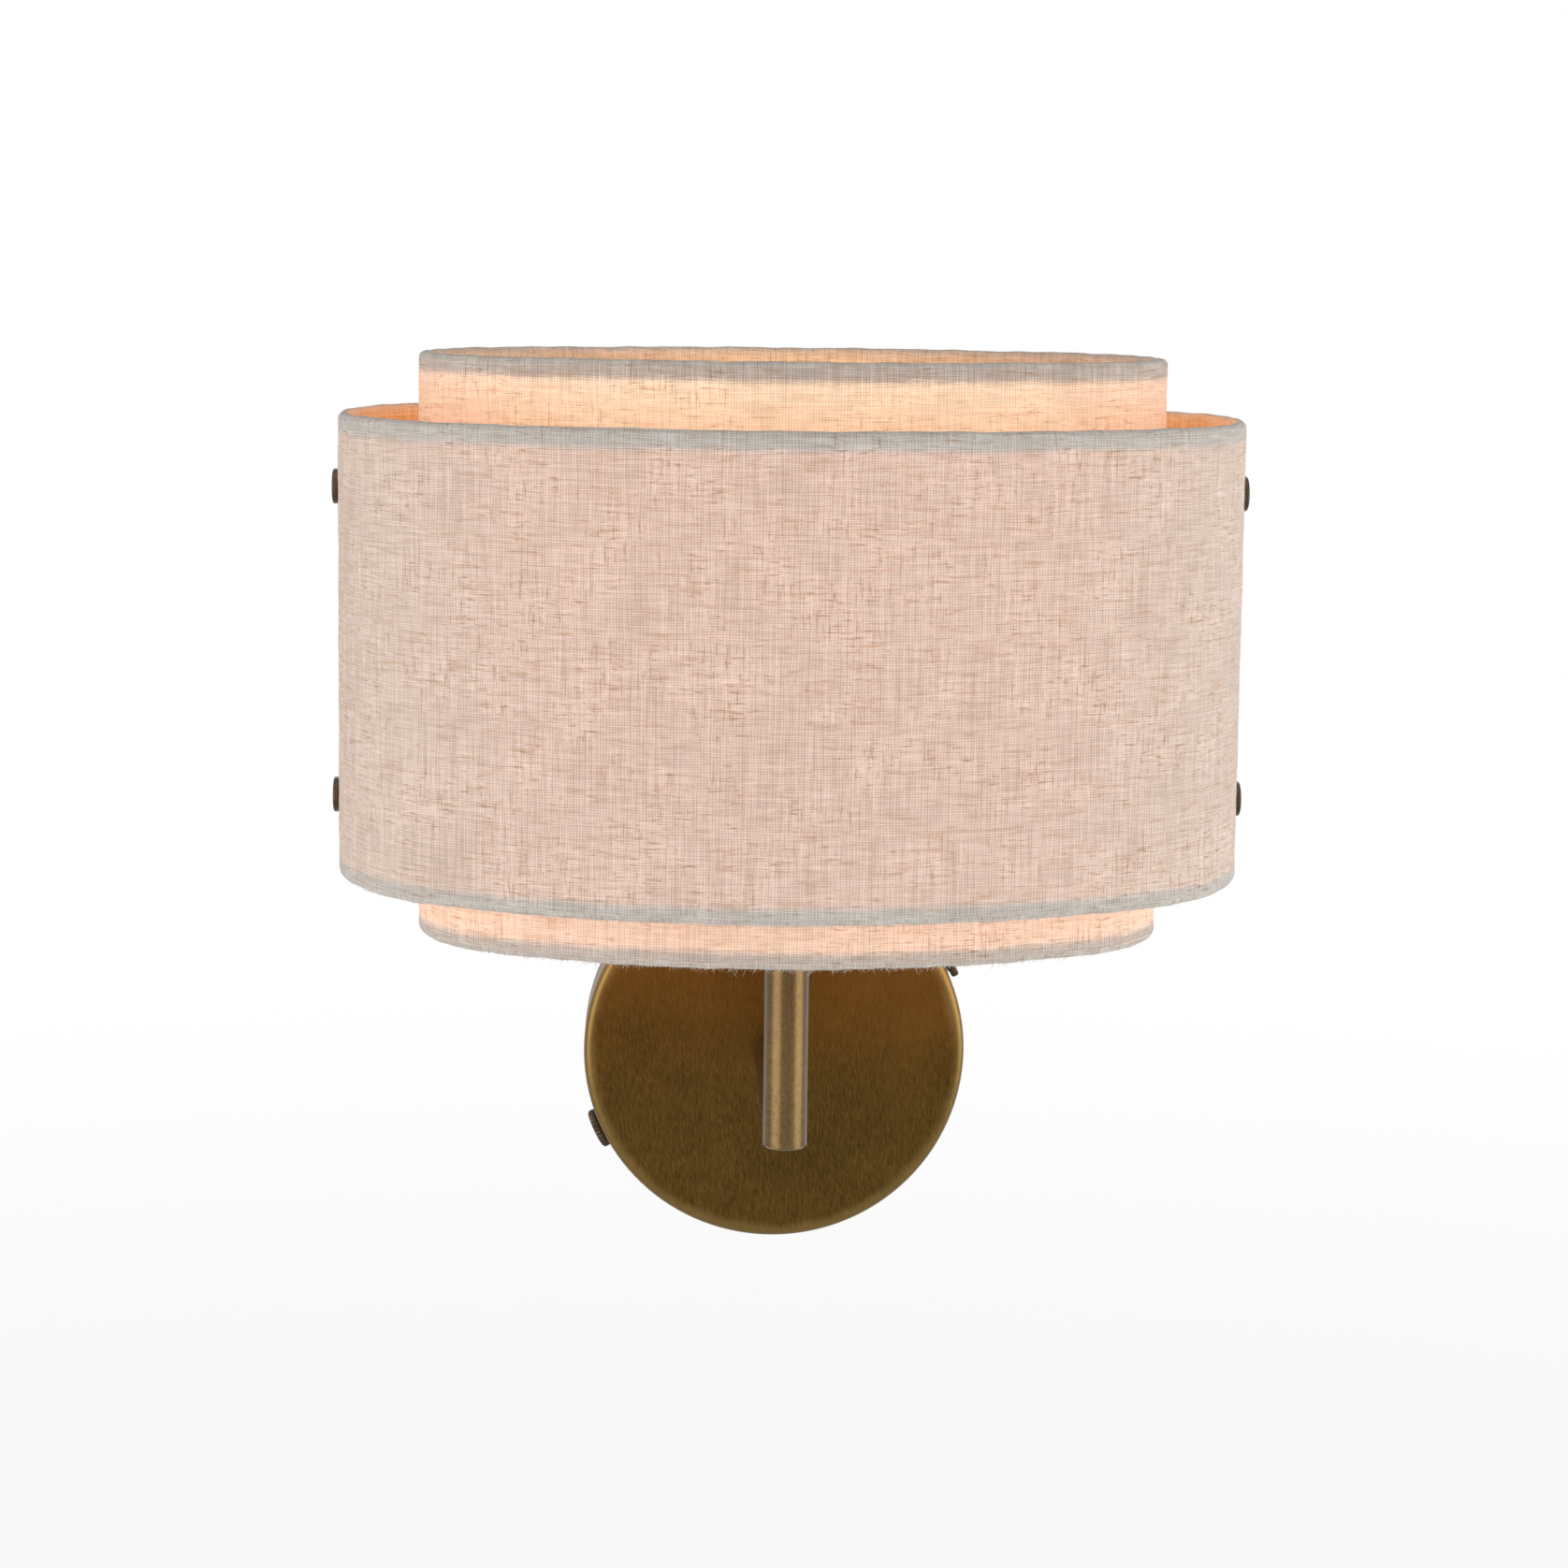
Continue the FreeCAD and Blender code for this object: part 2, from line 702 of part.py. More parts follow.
def make_linen(inset, height):
    """Stretched linen cover whose edges roll over the wire rings and turn down inside."""
    low = shade_middle - height / 2
    high = shade_middle + height / 2
    roll = roll_radius
    inner_face = 2 * roll

    def section(radius):
        def at(depth, z):
            return V(radius - depth, 0, z)

        def bow(depth, z, reach):
            start = at(depth, z)
            return Part.Arc(start, at(roll, z + reach), at(inner_face - depth, z)).toShape()

        upper = high - roll
        lower = low + roll
        fold = inner_face - linen
        edges = [
            Part.makeLine(at(0, lower), at(0, upper)),
            bow(0, upper, roll),
            Part.makeLine(at(inner_face, upper), at(inner_face, high - hem_height)),
            Part.makeLine(at(inner_face, high - hem_height), at(fold, high - hem_height)),
            Part.makeLine(at(fold, high - hem_height), at(fold, upper)),
            bow(fold, upper, roll - linen),
            Part.makeLine(at(linen, upper), at(linen, lower)),
            bow(linen, lower, linen - roll),
            Part.makeLine(at(fold, lower), at(fold, low + hem_height)),
            Part.makeLine(at(fold, low + hem_height), at(inner_face, low + hem_height)),
            Part.makeLine(at(inner_face, low + hem_height), at(inner_face, lower)),
            bow(inner_face, lower, -roll),
        ]
        return Part.Face(Part.Wire(edges))

    return round_oval(section, inset).cut(stud_holes(stud_radius + hole_gap))


def make_liner(inset, height):
    """Stiff clear lining bonded behind the linen, from ring to ring."""
    low = shade_middle - height / 2 + roll_radius
    high = shade_middle + height / 2 - roll_radius
    outer = linen + seat_gap

    def section(radius):
        face = radius - outer
        back = face - liner
        return flat_face([V(face, 0, low), V(face, 0, high), V(back, 0, high), V(back, 0, low)])

    return round_oval(section, inset).cut(stud_holes(stud_radius + hole_gap))


def make_ring(inset, height, end):
    """Oval wire ring inside the rolled edge at one end of a shade."""
    middle = shade_middle + end * (height / 2 - roll_radius)
    depth = shade_skin + ring_radius + seat_gap

    def section(radius):
        return Part.Face(Part.Wire(Part.makeCircle(ring_radius, V(radius - depth, 0, middle), Y)))

    return round_oval(section, inset)


# ---- Lampholder

def make_holder_base():
    """Moulded cup that screws on the nipple, with a ledge for the contact block."""
    foot = upright_axis + Z * holder_foot
    neck = holder_radius - holder_sleeve_wall - thread_gap
    cup = neck - holder_neck_wall
    ledge = cup - holder_ledge
    bore = nipple_radius + thread_gap
    top = holder_base_height + holder_neck_height
    profile = [
        (bore, 0), (holder_foot_radius, 0), (holder_radius, holder_cone), (holder_radius, holder_base_height),
        (neck, holder_base_height), (neck, top), (cup, top), (cup, holder_ledge_height),
        (ledge, holder_ledge_height), (ledge, holder_cone), (holder_foot_radius - holder_ledge, holder_floor),
        (bore, holder_floor),
    ]
    return turned(profile, Z, foot, {1: holder_foot_round, 2: holder_cone_round})


def make_holder_sleeve():
    """Fluted sleeve screwed over the base, turned in at its mouth."""
    foot = upright_axis + Z * (holder_foot + holder_base_height)
    bore = holder_radius - holder_sleeve_wall
    mouth = screw_shell_bore + shell_wall + holder_mouth_gap
    top = shell_foot + shell_height + seat_gap + holder_lip - foot.z
    profile = [
        (bore, 0), (holder_radius, 0), (holder_radius, top), (mouth, top),
        (mouth, top - holder_lip), (bore, top - holder_lip),
    ]
    sleeve = turned(profile, Z, foot, {2: holder_rim_round})
    flutes = []
    out = X * (holder_radius + flute_radius - flute_depth) + Z * flute_margin
    for i in range(flute_count):
        start = foot + FreeCAD.Rotation(Z, 360.0 * i / flute_count).multVec(out)
        flutes.append(Part.makeCylinder(flute_radius, top - 2 * flute_margin, start, Z))
    return sleeve.cut(flutes)


def make_contact_block():
    """Ceramic disc on the base's ledge that carries both contacts."""
    cup = holder_radius - holder_sleeve_wall - thread_gap - holder_neck_wall
    return Part.makeCylinder(cup - seat_gap, contact_block_height, upright_axis + Z * contact_foot, Z)


def make_centre_contact():
    """Brass button under the bulb's tip."""
    return Part.makeCylinder(contact_radius, contact_thickness, upright_axis + Z * shell_foot, Z)


def make_screw_shell():
    """Brass screw shell for the bulb's cap."""
    foot = upright_axis + Z * shell_foot
    return tube(screw_shell_bore + shell_wall, screw_shell_bore, shell_height, foot, Z)


# ---- Bulb

def bulb_curve(offset):
    """Edges up the bulb's profile, moved in by offset: straight neck, hollow waist, round globe."""
    globe_height = bulb_length - bulb_radius
    rise = globe_height - bulb_neck_start
    step = bulb_radius - bulb_neck_radius
    waist = (rise ** 2 + bulb_neck_radius ** 2 - bulb_radius ** 2) / (2 * step)
    waist_centre = V(bulb_neck_radius + waist, 0, bulb_neck_start)
    globe = V(0, 0, globe_height)
    reach = bulb_radius - offset
    toward = (globe - waist_centre).normalize()
    waist_middle = waist_centre + (toward - X).normalize() * (waist + offset)
    neck = V(bulb_neck_radius - offset, 0, bulb_neck_start)
    foot = neck - Z * bulb_neck_grip
    meet = waist_centre + toward * (waist + offset)
    globe_middle = globe + (Z - toward).normalize() * reach
    return [
        Part.makeLine(foot, neck),
        Part.Arc(neck, waist_middle, meet).toShape(),
        Part.Arc(meet, globe_middle, globe + Z * reach).toShape(),
    ]


def make_bulb_glass():
    """Opal glass pear, blown thin, open at its neck."""
    outside = bulb_curve(0)
    inside = bulb_curve(bulb_wall)
    crown = Part.makeLine(outside[-1].Vertexes[-1].Point, inside[-1].Vertexes[-1].Point)
    mouth = Part.makeLine(inside[0].Vertexes[0].Point, outside[0].Vertexes[0].Point)
    wall = Part.Face(Part.Wire(outside + [crown] + inside[::-1] + [mouth]))
    glass = outward(wall.revolve(ORIGIN, Z, 360))
    glass.translate(upright_axis + Z * bulb_foot)
    return glass


def make_bulb_cap():
    """Screw cap: rolled thread below, plain skirt round the glass neck above."""
    foot = tip_height + insulator_height
    inside = cap_root_radius - cap_wall
    skirt_foot = cap_thread_start + cap_turns * cap_pitch
    neck_foot = bulb_neck_start - bulb_neck_grip
    top = bulb_neck_start + cap_wall
    neck_bore = bulb_neck_radius + seat_gap

    def at(radius, height):
        return upright_axis + V(radius, 0, bulb_foot + height)

    edges = [Part.makeLine(at(inside, foot), at(cap_root_radius, foot))]
    edges.append(Part.makeLine(at(cap_root_radius, foot), at(cap_root_radius, cap_thread_start)))
    for i in range(cap_turns):
        low = cap_thread_start + i * cap_pitch
        valley = at(cap_root_radius, low)
        crest = at(cap_crest_radius, low + cap_pitch / 2)
        edges.append(Part.Arc(valley, crest, at(cap_root_radius, low + cap_pitch)).toShape())
    tail = [
        at(cap_root_radius, skirt_foot), at(cap_crest_radius, skirt_foot), at(cap_crest_radius, top),
        at(neck_bore, top), at(neck_bore, neck_foot - seat_gap),
        at(inside, neck_foot - seat_gap), at(inside, foot),
    ]
    for start, end in zip(tail, tail[1:]):
        edges.append(Part.makeLine(start, end))
    return outward(Part.Face(Part.Wire(edges)).revolve(upright_axis, Z, 360))


def make_bulb_insulator():
    """Black glass cone between the cap and the tip."""
    foot = upright_axis + Z * (bulb_foot + tip_height)
    profile = [(0, 0), (insulator_foot_radius, 0), (cap_root_radius, insulator_height), (0, insulator_height)]
    return turned(profile, Z, foot)


def make_bulb_tip():
    """Solder contact at the bulb's tip."""
    foot = upright_axis + Z * bulb_foot
    profile = [(0, 0), (tip_radius, 0), (tip_radius, tip_height), (0, tip_height)]
    return turned(profile, Z, foot, {1: tip_height / 2})


def make_bulb_stem():
    """Glass post inside the bulb that stands on the insulator."""
    foot = upright_axis + Z * (bulb_foot + tip_height + insulator_height)
    flare = cap_root_radius - cap_wall - seat_gap
    profile = [
        (0, 0), (flare, 0), (flare, stem_flare), (stem_radius, 3 * stem_flare),
        (stem_radius, stem_length), (0, stem_length),
    ]
    return turned(profile, Z, foot, {4: stem_radius / 2})


def make_led_filaments():
    """Straight light-emitting rods leaning on the stem."""
    height = bulb_foot + tip_height + insulator_height + stem_length - filament_length
    rods = []
    for i in range(filament_count):
        out = FreeCAD.Rotation(Z, 360.0 * (i + 0.5) / filament_count).multVec(X)
        foot = upright_axis + out * (stem_radius + filament_radius + seat_gap) + Z * height
        rods.append(Part.makeCylinder(filament_radius, filament_length, foot, Z))
    return group(rods)


os.makedirs("parts", exist_ok=True)

save("wall_bracket", make_wall_bracket())
save("cable_bush", make_cable_bush())
save("canopy", make_canopy())
save("thumb_screw_lower", make_thumb_screw(-1))
save("thumb_screw_upper", make_thumb_screw(1))
save("terminal_block", make_terminal_block())
save("terminal_screws", make_terminal_screws())
save("block_screws", make_block_screws())
save("earth_tag", make_earth_tag())
save("earth_screw", make_earth_screw())
save("earth_wire", make_earth_wire())
save("live_wire", make_supply_wire(-pole_pitch, -1))
save("neutral_wire", make_supply_wire(0, 1))

save("canopy_nipple", make_canopy_nipple())
save("canopy_washer", make_canopy_washer())
save("canopy_nut", make_canopy_nut())
save("stub_tube", make_stub_tube())
save("upright_tube", make_upright_tube())
save("tube_end_plug", make_tube_end_plug())
save("top_nipple", make_top_nipple())

save("shade_carrier", make_shade_carrier())
save("carrier_washer", make_carrier_washer())
save("shade_spacers", make_shade_spacers())
save("shade_studs", make_shade_studs())
save("shade_nuts", make_shade_nuts())

for shade, inset, height in (("inner", shade_spacing, inner_height), ("outer", 0, outer_height)):
    save(shade + "_linen", make_linen(inset, height))
    save(shade + "_liner", make_liner(inset, height))
    save(shade + "_top_ring", make_ring(inset, height, 1))
    save(shade + "_bottom_ring", make_ring(inset, height, -1))

save("holder_base", make_holder_base())
save("holder_sleeve", make_holder_sleeve())
save("contact_block", make_contact_block())
save("centre_contact", make_centre_contact())
save("screw_shell", make_screw_shell())

save("bulb_glass", make_bulb_glass())
save("bulb_cap", make_bulb_cap())
save("bulb_insulator", make_bulb_insulator())
save("bulb_tip", make_bulb_tip())
save("bulb_stem", make_bulb_stem())
save("led_filaments", make_led_filaments())
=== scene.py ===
import math

import bpy
import numpy as np
from mathutils import Matrix, Vector


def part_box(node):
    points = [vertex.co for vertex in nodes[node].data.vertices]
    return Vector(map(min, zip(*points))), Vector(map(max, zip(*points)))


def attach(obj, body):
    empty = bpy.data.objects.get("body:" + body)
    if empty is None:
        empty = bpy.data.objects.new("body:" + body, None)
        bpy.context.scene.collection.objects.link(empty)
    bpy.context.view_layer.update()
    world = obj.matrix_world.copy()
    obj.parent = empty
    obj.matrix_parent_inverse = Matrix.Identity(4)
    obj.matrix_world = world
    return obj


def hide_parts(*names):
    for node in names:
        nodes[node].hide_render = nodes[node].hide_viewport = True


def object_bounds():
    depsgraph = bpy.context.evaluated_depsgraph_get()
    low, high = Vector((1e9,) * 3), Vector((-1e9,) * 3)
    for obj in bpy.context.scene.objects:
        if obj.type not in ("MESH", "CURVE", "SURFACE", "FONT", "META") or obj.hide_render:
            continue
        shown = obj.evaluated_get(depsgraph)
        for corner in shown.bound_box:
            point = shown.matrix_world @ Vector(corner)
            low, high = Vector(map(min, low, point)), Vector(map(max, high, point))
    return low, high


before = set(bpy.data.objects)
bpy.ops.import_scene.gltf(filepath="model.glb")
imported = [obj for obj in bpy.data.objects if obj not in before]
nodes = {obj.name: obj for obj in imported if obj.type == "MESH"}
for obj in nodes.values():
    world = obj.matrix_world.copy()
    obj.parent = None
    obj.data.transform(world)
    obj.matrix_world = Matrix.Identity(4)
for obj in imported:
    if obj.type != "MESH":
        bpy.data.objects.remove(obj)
cad_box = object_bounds()

# ---------------------------------------------------------------------------------------------
# Linen covers. Each shade is a strip of natural linen stretched round an oval of four tangent
# arcs, lapped and glued at the back, its long edges rolled over wire rings and turned in by 5 mm.
# Slubbed warp and weft, brown flecks; painted glow of the lamp, in the middle but not the hems.

LINEN = 0.0006
HEM = 0.005
END_RADIUS = 0.062           # of the outer shade's narrow ends
LAP_WIDTH = 0.011
LAP_RISE = 0.0005
LAP_EDGE = 0.0006            # width of the slope at each side of the lap
HEM_WOBBLE = 0.00022
HEM_REACH = 0.012            # how far the hems' wobble reaches into the face
FACE_WOBBLE = 0.00012
AROUND_POINTS = 720          # of the cover's mesh, round the oval
FACE_POINTS = 60
ROLL_POINTS = 13
BACK_POINTS = 20


class Oval:
    """Plan of a shade: four tangent arcs about the upright, traced by distance from the back."""

    def __init__(self, node, end_radius):
        low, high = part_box(node)
        self.middle = (low + high) / 2
        self.low = low.z
        self.high = high.z
        a = (high.x - low.x) / 2
        b = (high.y - low.y) / 2
        r = end_radius
        side = (a * a + b * b - 2 * a * r) / (2 * (b - r))
        meet = math.atan2(side - b, a - r)
        long_arc = math.pi / 2 - meet
        # start at the back's middle (+Y) and go round clockwise seen from above
        self.centres = np.array([(0, b - side), (a - r, 0), (0, side - b), (r - a, 0), (0, b - side)])
        self.radii = np.array([side, r, side, r, side])
        self.first = np.array([math.pi / 2, meet, -meet, meet - math.pi, math.pi - meet])
        self.spans = np.array([long_arc, 2 * meet, 2 * long_arc, 2 * meet, long_arc])
        self.marks = np.concatenate([[0], np.cumsum(self.spans * self.radii)])
        self.girth = self.marks[-1]
        self.half = a

    def walk(self, distance, inset):
        """x, y of the point at that distance round the oval, moved in by inset: centre plus
        (radius - inset) in the direction of the arc's angle."""
        which = np.clip(np.searchsorted(self.marks, distance, side="right") - 1, 0, 4)
        angle = self.first[which] - (distance - self.marks[which]) / self.radii[which]
        reach = self.radii[which] - inset
        x = self.middle.x + self.centres[which, 0] + reach * np.cos(angle)
        y = self.middle.y + self.centres[which, 1] + reach * np.sin(angle)
        return x, y


def ripple(distance, girth, waves, seed):
    """Sum of a few sines round the oval with random phases, a whole number of waves each."""
    rng = np.random.default_rng(seed)
    turn = 2 * np.pi * distance / girth
    total = np.zeros_like(distance)
    for count in waves:
        total += np.sin(count * turn + rng.uniform(0, 2 * np.pi)) / len(waves)
    return total


def into_scene(name, data):
    """A new object for a mesh, lamp or camera, linked to the scene."""
    made = bpy.data.objects.new(name, data)
    bpy.context.scene.collection.objects.link(made)
    return made


def grid_mesh(name, x, y, z, u=None, v=None, wrap=(False, False)):
    """Quads over a rows-by-columns grid of points, closed along an axis that wraps, with u and v in
    metres as its texture coordinates (u and v have one row or column more where the grid wraps)."""
    rows, columns = x.shape
    mesh = bpy.data.meshes.new(name)
    points = np.stack([x, y, z], axis=-1).reshape(-1, 3)
    i = np.arange(rows if wrap[0] else rows - 1)
    j = np.arange(columns if wrap[1] else columns - 1)
    i, j = np.meshgrid(i, j, indexing="ij")
    i, j = i.ravel(), j.ravel()
    i2, j2 = (i + 1) % rows, (j + 1) % columns
    faces = np.stack([i * columns + j, i2 * columns + j, i2 * columns + j2, i * columns + j2], axis=-1)
    mesh.from_pydata(points, [], faces.tolist())
    if u is not None:
        layer = mesh.uv_layers.new(name="cloth")
        wide = u.shape[1]
        uv = np.stack([u, v], axis=-1).reshape(-1, 2)
        near, far = i * wide + j, (i + 1) * wide + j
        corners = np.stack([near, far, far + 1, near + 1], axis=-1)
        layer.data.foreach_set("uv", uv[corners.ravel()].ravel())
    mesh.polygons.foreach_set("use_smooth", np.ones(len(mesh.polygons), bool))
    return into_scene(name, mesh)


def linen_profile(low, high, roll):
    """Inset and height of the cover's section as a closed loop: up the outer face, over the top
    roll, down the turned-in hem and back along the inside."""
    wall = np.linspace(low + roll, high - roll, FACE_POINTS)
    bow = np.linspace(np.pi, 0, ROLL_POINTS)[1:-1]
    hem_top = high - HEM
    hem_low = low + HEM
    fold = 2 * roll
    inner = fold - LINEN
    small = roll - LINEN
    parts = [
        (np.zeros_like(wall), wall),
        (roll + roll * np.cos(bow), high - roll + roll * np.sin(bow)),
        (np.array([fold, fold, inner, inner]), np.array([high - roll, hem_top, hem_top, high - roll])),
        (roll - small * np.cos(bow), high - roll + small * np.sin(bow)),
        (np.full(BACK_POINTS, LINEN), np.linspace(high - roll, low + roll, BACK_POINTS)),
        (roll + small * np.cos(bow), low + roll - small * np.sin(bow)),
        (np.array([inner, inner, fold, fold]), np.array([low + roll, hem_low, hem_low, low + roll])),
        (roll - roll * np.cos(bow), low + roll - roll * np.sin(bow)),
    ]
    return np.concatenate([p[0] for p in parts]), np.concatenate([p[1] for p in parts])


def linen_cover(name, oval, roll, seed):
    """The profile carried round the oval: inset moves a point in from the oval, height is its z.
    Both rims wander a little, and the last stretch round the back lies LAP_RISE proud as a lap."""
    around = np.linspace(0, oval.girth, AROUND_POINTS, endpoint=False)
    inset, height = linen_profile(oval.low, oval.high, roll)
    s, depth = np.meshgrid(around, inset)
    _, z = np.meshgrid(around, height)
    nearness_top = np.clip(1 - (oval.high - z) / HEM_REACH, 0, 1)
    nearness_low = np.clip(1 - (z - oval.low) / HEM_REACH, 0, 1)
    z = z + HEM_WOBBLE * (nearness_top * (ripple(s, oval.girth, (9, 17, 31, 53), seed) - 0.6)
                          + nearness_low * (ripple(s, oval.girth, (11, 19, 37, 61), seed + 1) + 0.6))
    past_start = np.clip((s - (oval.girth - LAP_WIDTH)) / LAP_EDGE, 0, 1)
    before_end = np.clip((oval.girth - s) / LAP_EDGE, 0, 1)
    depth = depth - LAP_RISE * past_start * before_end * (depth < roll)
    depth = depth + FACE_WOBBLE * ripple(s + 3 * z, oval.girth, (5, 13, 29), seed + 2)
    x, y = oval.walk(s, depth)
    run = np.concatenate([[0], np.cumsum(np.hypot(np.diff(inset), np.diff(height)))])
    run = np.append(run, run[-1] + math.hypot(inset[0] - inset[-1], height[0] - height[-1]))
    u, v = np.meshgrid(np.append(around, oval.girth), run)
    return grid_mesh(name, x, y, z, u, v, wrap=(True, True))


class Field:
    """An output socket of a shader node, used in sums and products like a number."""

    def __init__(self, shading, socket):
        self.shading = shading
        self.socket = socket

    def other(self, output):
        """Another output of the same node."""
        return Field(self.shading, self.socket.node.outputs[output])

    def _math(self, operation, *values):
        return self.shading.node("ShaderNodeMath", {"operation": operation}, dict(enumerate(values)))

    def __add__(self, other):
        return self._math("ADD", self, other)

    def __radd__(self, other):
        return self._math("ADD", other, self)

    def __sub__(self, other):
        return self._math("SUBTRACT", self, other)

    def __rsub__(self, other):
        return self._math("SUBTRACT", other, self)

    def __mul__(self, other):
        return self._math("MULTIPLY", self, other)

    def __rmul__(self, other):
        return self._math("MULTIPLY", other, self)

    def __abs__(self):
        return self._math("ABSOLUTE", self)

    def sine(self):
        return self._math("SINE", self)

    def root(self):
        return self._math("SQRT", self)

    def least(self, other):
        return self._math("MINIMUM", self, other)

    def most(self, other):
        return self._math("MAXIMUM", self, other)

    def rise(self, start, end):
        """0 below start, 1 above end, smooth between."""
        return self.shading.node("ShaderNodeMapRange", {"interpolation_type": "SMOOTHSTEP"},
                                 {0: self, 1: start, 2: end, 3: 0.0, 4: 1.0})


class Shading:
    """A tree of shader nodes. A node is added by its type, with its settings and its inputs' values
    or links."""

    def __init__(self, tree):
        self.tree = tree

    def connect(self, socket, value):
        if isinstance(value, Field):
            self.tree.links.new(value.socket, socket)
        else:
            socket.default_value = value

    def node(self, kind, settings=None, inputs=None, output=0):
        made = self.tree.nodes.new(kind)
        for key, value in (settings or {}).items():
            setattr(made, key, value)
        for key, value in (inputs or {}).items():
            self.connect(made.inputs[key], value)
        return Field(self, made.outputs[output])


class Finish(Shading):
    """A material with a Principled surface."""

    def __init__(self, name):
        self.material = bpy.data.materials.new(name)
        self.material.use_nodes = True
        super().__init__(self.material.node_tree)
        self.surface = self.tree.nodes["Principled BSDF"]

    def spot(self):
        """Object coordinates as one vector."""
        return self.node("ShaderNodeTexCoord", output="Object")

    def split(self, vector):
        """The vector's x, y and z as fields."""
        x = self.node("ShaderNodeSeparateXYZ", None, {0: vector})
        return x, x.other(1), x.other(2)

    def vector(self, x, y, z=0.0):
        return self.node("ShaderNodeCombineXYZ", None, {0: x, 1: y, 2: z})

    def noise(self, vector, scale, detail=2.0, roughness=0.5):
        values = {"Vector": vector, "Scale": scale, "Detail": detail, "Roughness": roughness}
        return self.node("ShaderNodeTexNoise", None, values)

    def mix(self, mask, low, high):
        """Colour between low and high by mask."""
        return self.node("ShaderNodeMix", {"data_type": "RGBA"}, {0: mask, 6: low, 7: high}, output=2)

    def bump(self, height, depth):
        return self.node("ShaderNodeBump", None, {"Height": height, "Distance": depth})

    def set(self, **sockets):
        for key, value in sockets.items():
            self.connect(self.surface.inputs[key.replace("_", " ")], value)

    def dress(self, *pieces):
        for piece in pieces:
            piece.data.materials.clear()
            piece.data.materials.append(self.material)


def tint(red, green, blue):
    """Linear colour of a paint chip given as 0-255 screen values."""
    screen = np.array([red, green, blue]) / 255
    linear = np.where(screen <= 0.04045, screen / 12.92, ((screen + 0.055) / 1.055) ** 2.4)
    return (*linear.tolist(), 1.0)


WARP = 0.00082               # spacing of the upright threads
WEFT = 0.00070               # and of the level ones
THREAD_DRIFT = 0.0014        # how far a thread strays from its straight line
LOW_SHADE = 0.0048           # height of the band along the lower rim where the ring keeps the light out
TOP_SHADE = 0.0052           # and along the upper rim
UNLIT = (0.0, 0.0, 0.0, 1.0)


def linen_finish(name, oval, roll, cloth, shadow, glow, glow_end, glow_low, hem_glow):
    """Plain weave of thick and thin yarns with tan and brown slubs, and the lamp's light that comes
    through, painted on as emission: glow at the top middle, glow_end at the narrow ends, none over
    the rings, and the inward glow on the turned-in hem, which faces the bulb."""
    finish = Finish(name)
    x, _, z = finish.split(finish.spot())
    u, v, _ = finish.split(finish.node("ShaderNodeUVMap", {"uv_map": "cloth"}))
    drift = finish.noise(finish.vector(u, v), 60.0)
    weft = ((v + drift * THREAD_DRIFT) * (2 * math.pi / WEFT)).sine()
    warp = ((u + drift * THREAD_DRIFT) * (2 * math.pi / WARP)).sine()
    thick_weft = finish.noise(finish.vector(u * 75.0, v * 1300.0), 1.0, 3.0, 0.7)
    thick_warp = finish.noise(finish.vector(u * 1300.0, v * 40.0, 7.0), 1.0, 3.0, 0.7)
    cloud = finish.noise(finish.vector(u, v, 3.0), 55.0, 4.0, 0.65)
    threads = (warp + weft) * 0.17 + (thick_weft - 0.5) * 1.3 + (thick_warp - 0.5) * 1.4
    tone = (threads + (cloud - 0.5) * 0.8 + 0.5).most(0.0).least(1.0)
    colour = finish.mix(tone, shadow, cloth)
    gate = cloud.rise(0.38, 0.60)
    tan = finish.noise(finish.vector(u * 90.0, v * 620.0, 17.0), 1.0, 4.0, 0.75).rise(0.50, 0.70)
    slub = finish.noise(finish.vector(u * 190.0, v * 1500.0, 11.0), 1.0, 4.0, 0.65).rise(0.54, 0.66)
    streak = finish.noise(finish.vector(u * 1300.0, v * 120.0, 13.0), 1.0, 4.0, 0.65).rise(0.54, 0.66)
    brown = (slub * gate + streak * gate * 0.8).least(1.0)
    colour = finish.mix(tan * 0.6, colour, tint(180, 150, 120))
    colour = finish.mix(brown * 0.65, colour, tint(146, 112, 82))
    rim = (z - (oval.low + LOW_SHADE)).least((oval.high - TOP_SHADE) - z)
    clear = (rim + (cloud - 0.5) * 0.0016 + threads * 0.0008).rise(-0.0013, 0.0016)
    # painted glow: the lamp's light through the cloth, given as emission colour
    light = finish.mix(z.rise(oval.low, oval.high), glow_low, glow)
    light = finish.mix(abs(x).rise(oval.half * 0.45, oval.half), light, glow_end)
    passed = clear * (threads * 0.35 + (cloud - 0.5) * 0.6 + 1.0 - tan * 0.2 - brown * 0.4)
    light = finish.mix(passed, UNLIT, light)
    wall = oval.high - oval.low - 2 * roll
    end = 2 * wall + 4 * (math.pi * roll + HEM - roll) - 2 * math.pi * LINEN
    outside = v.rise(end - 2.6 * roll, end - 1.2 * roll)
    inside = v.rise(wall + 1.2 * roll, wall + 2.6 * roll) * (1.0 - outside)
    light = finish.mix(inside * (threads * 0.3 + 0.9), light, hem_glow)
    finish.set(Base_Color=colour, Roughness=0.92, Specular_IOR_Level=0.2)
    finish.set(Sheen_Weight=0.12, Sheen_Roughness=0.5)
    finish.set(Emission_Color=light, Emission_Strength=1.0, Normal=finish.bump(threads, 0.0002))
    return finish


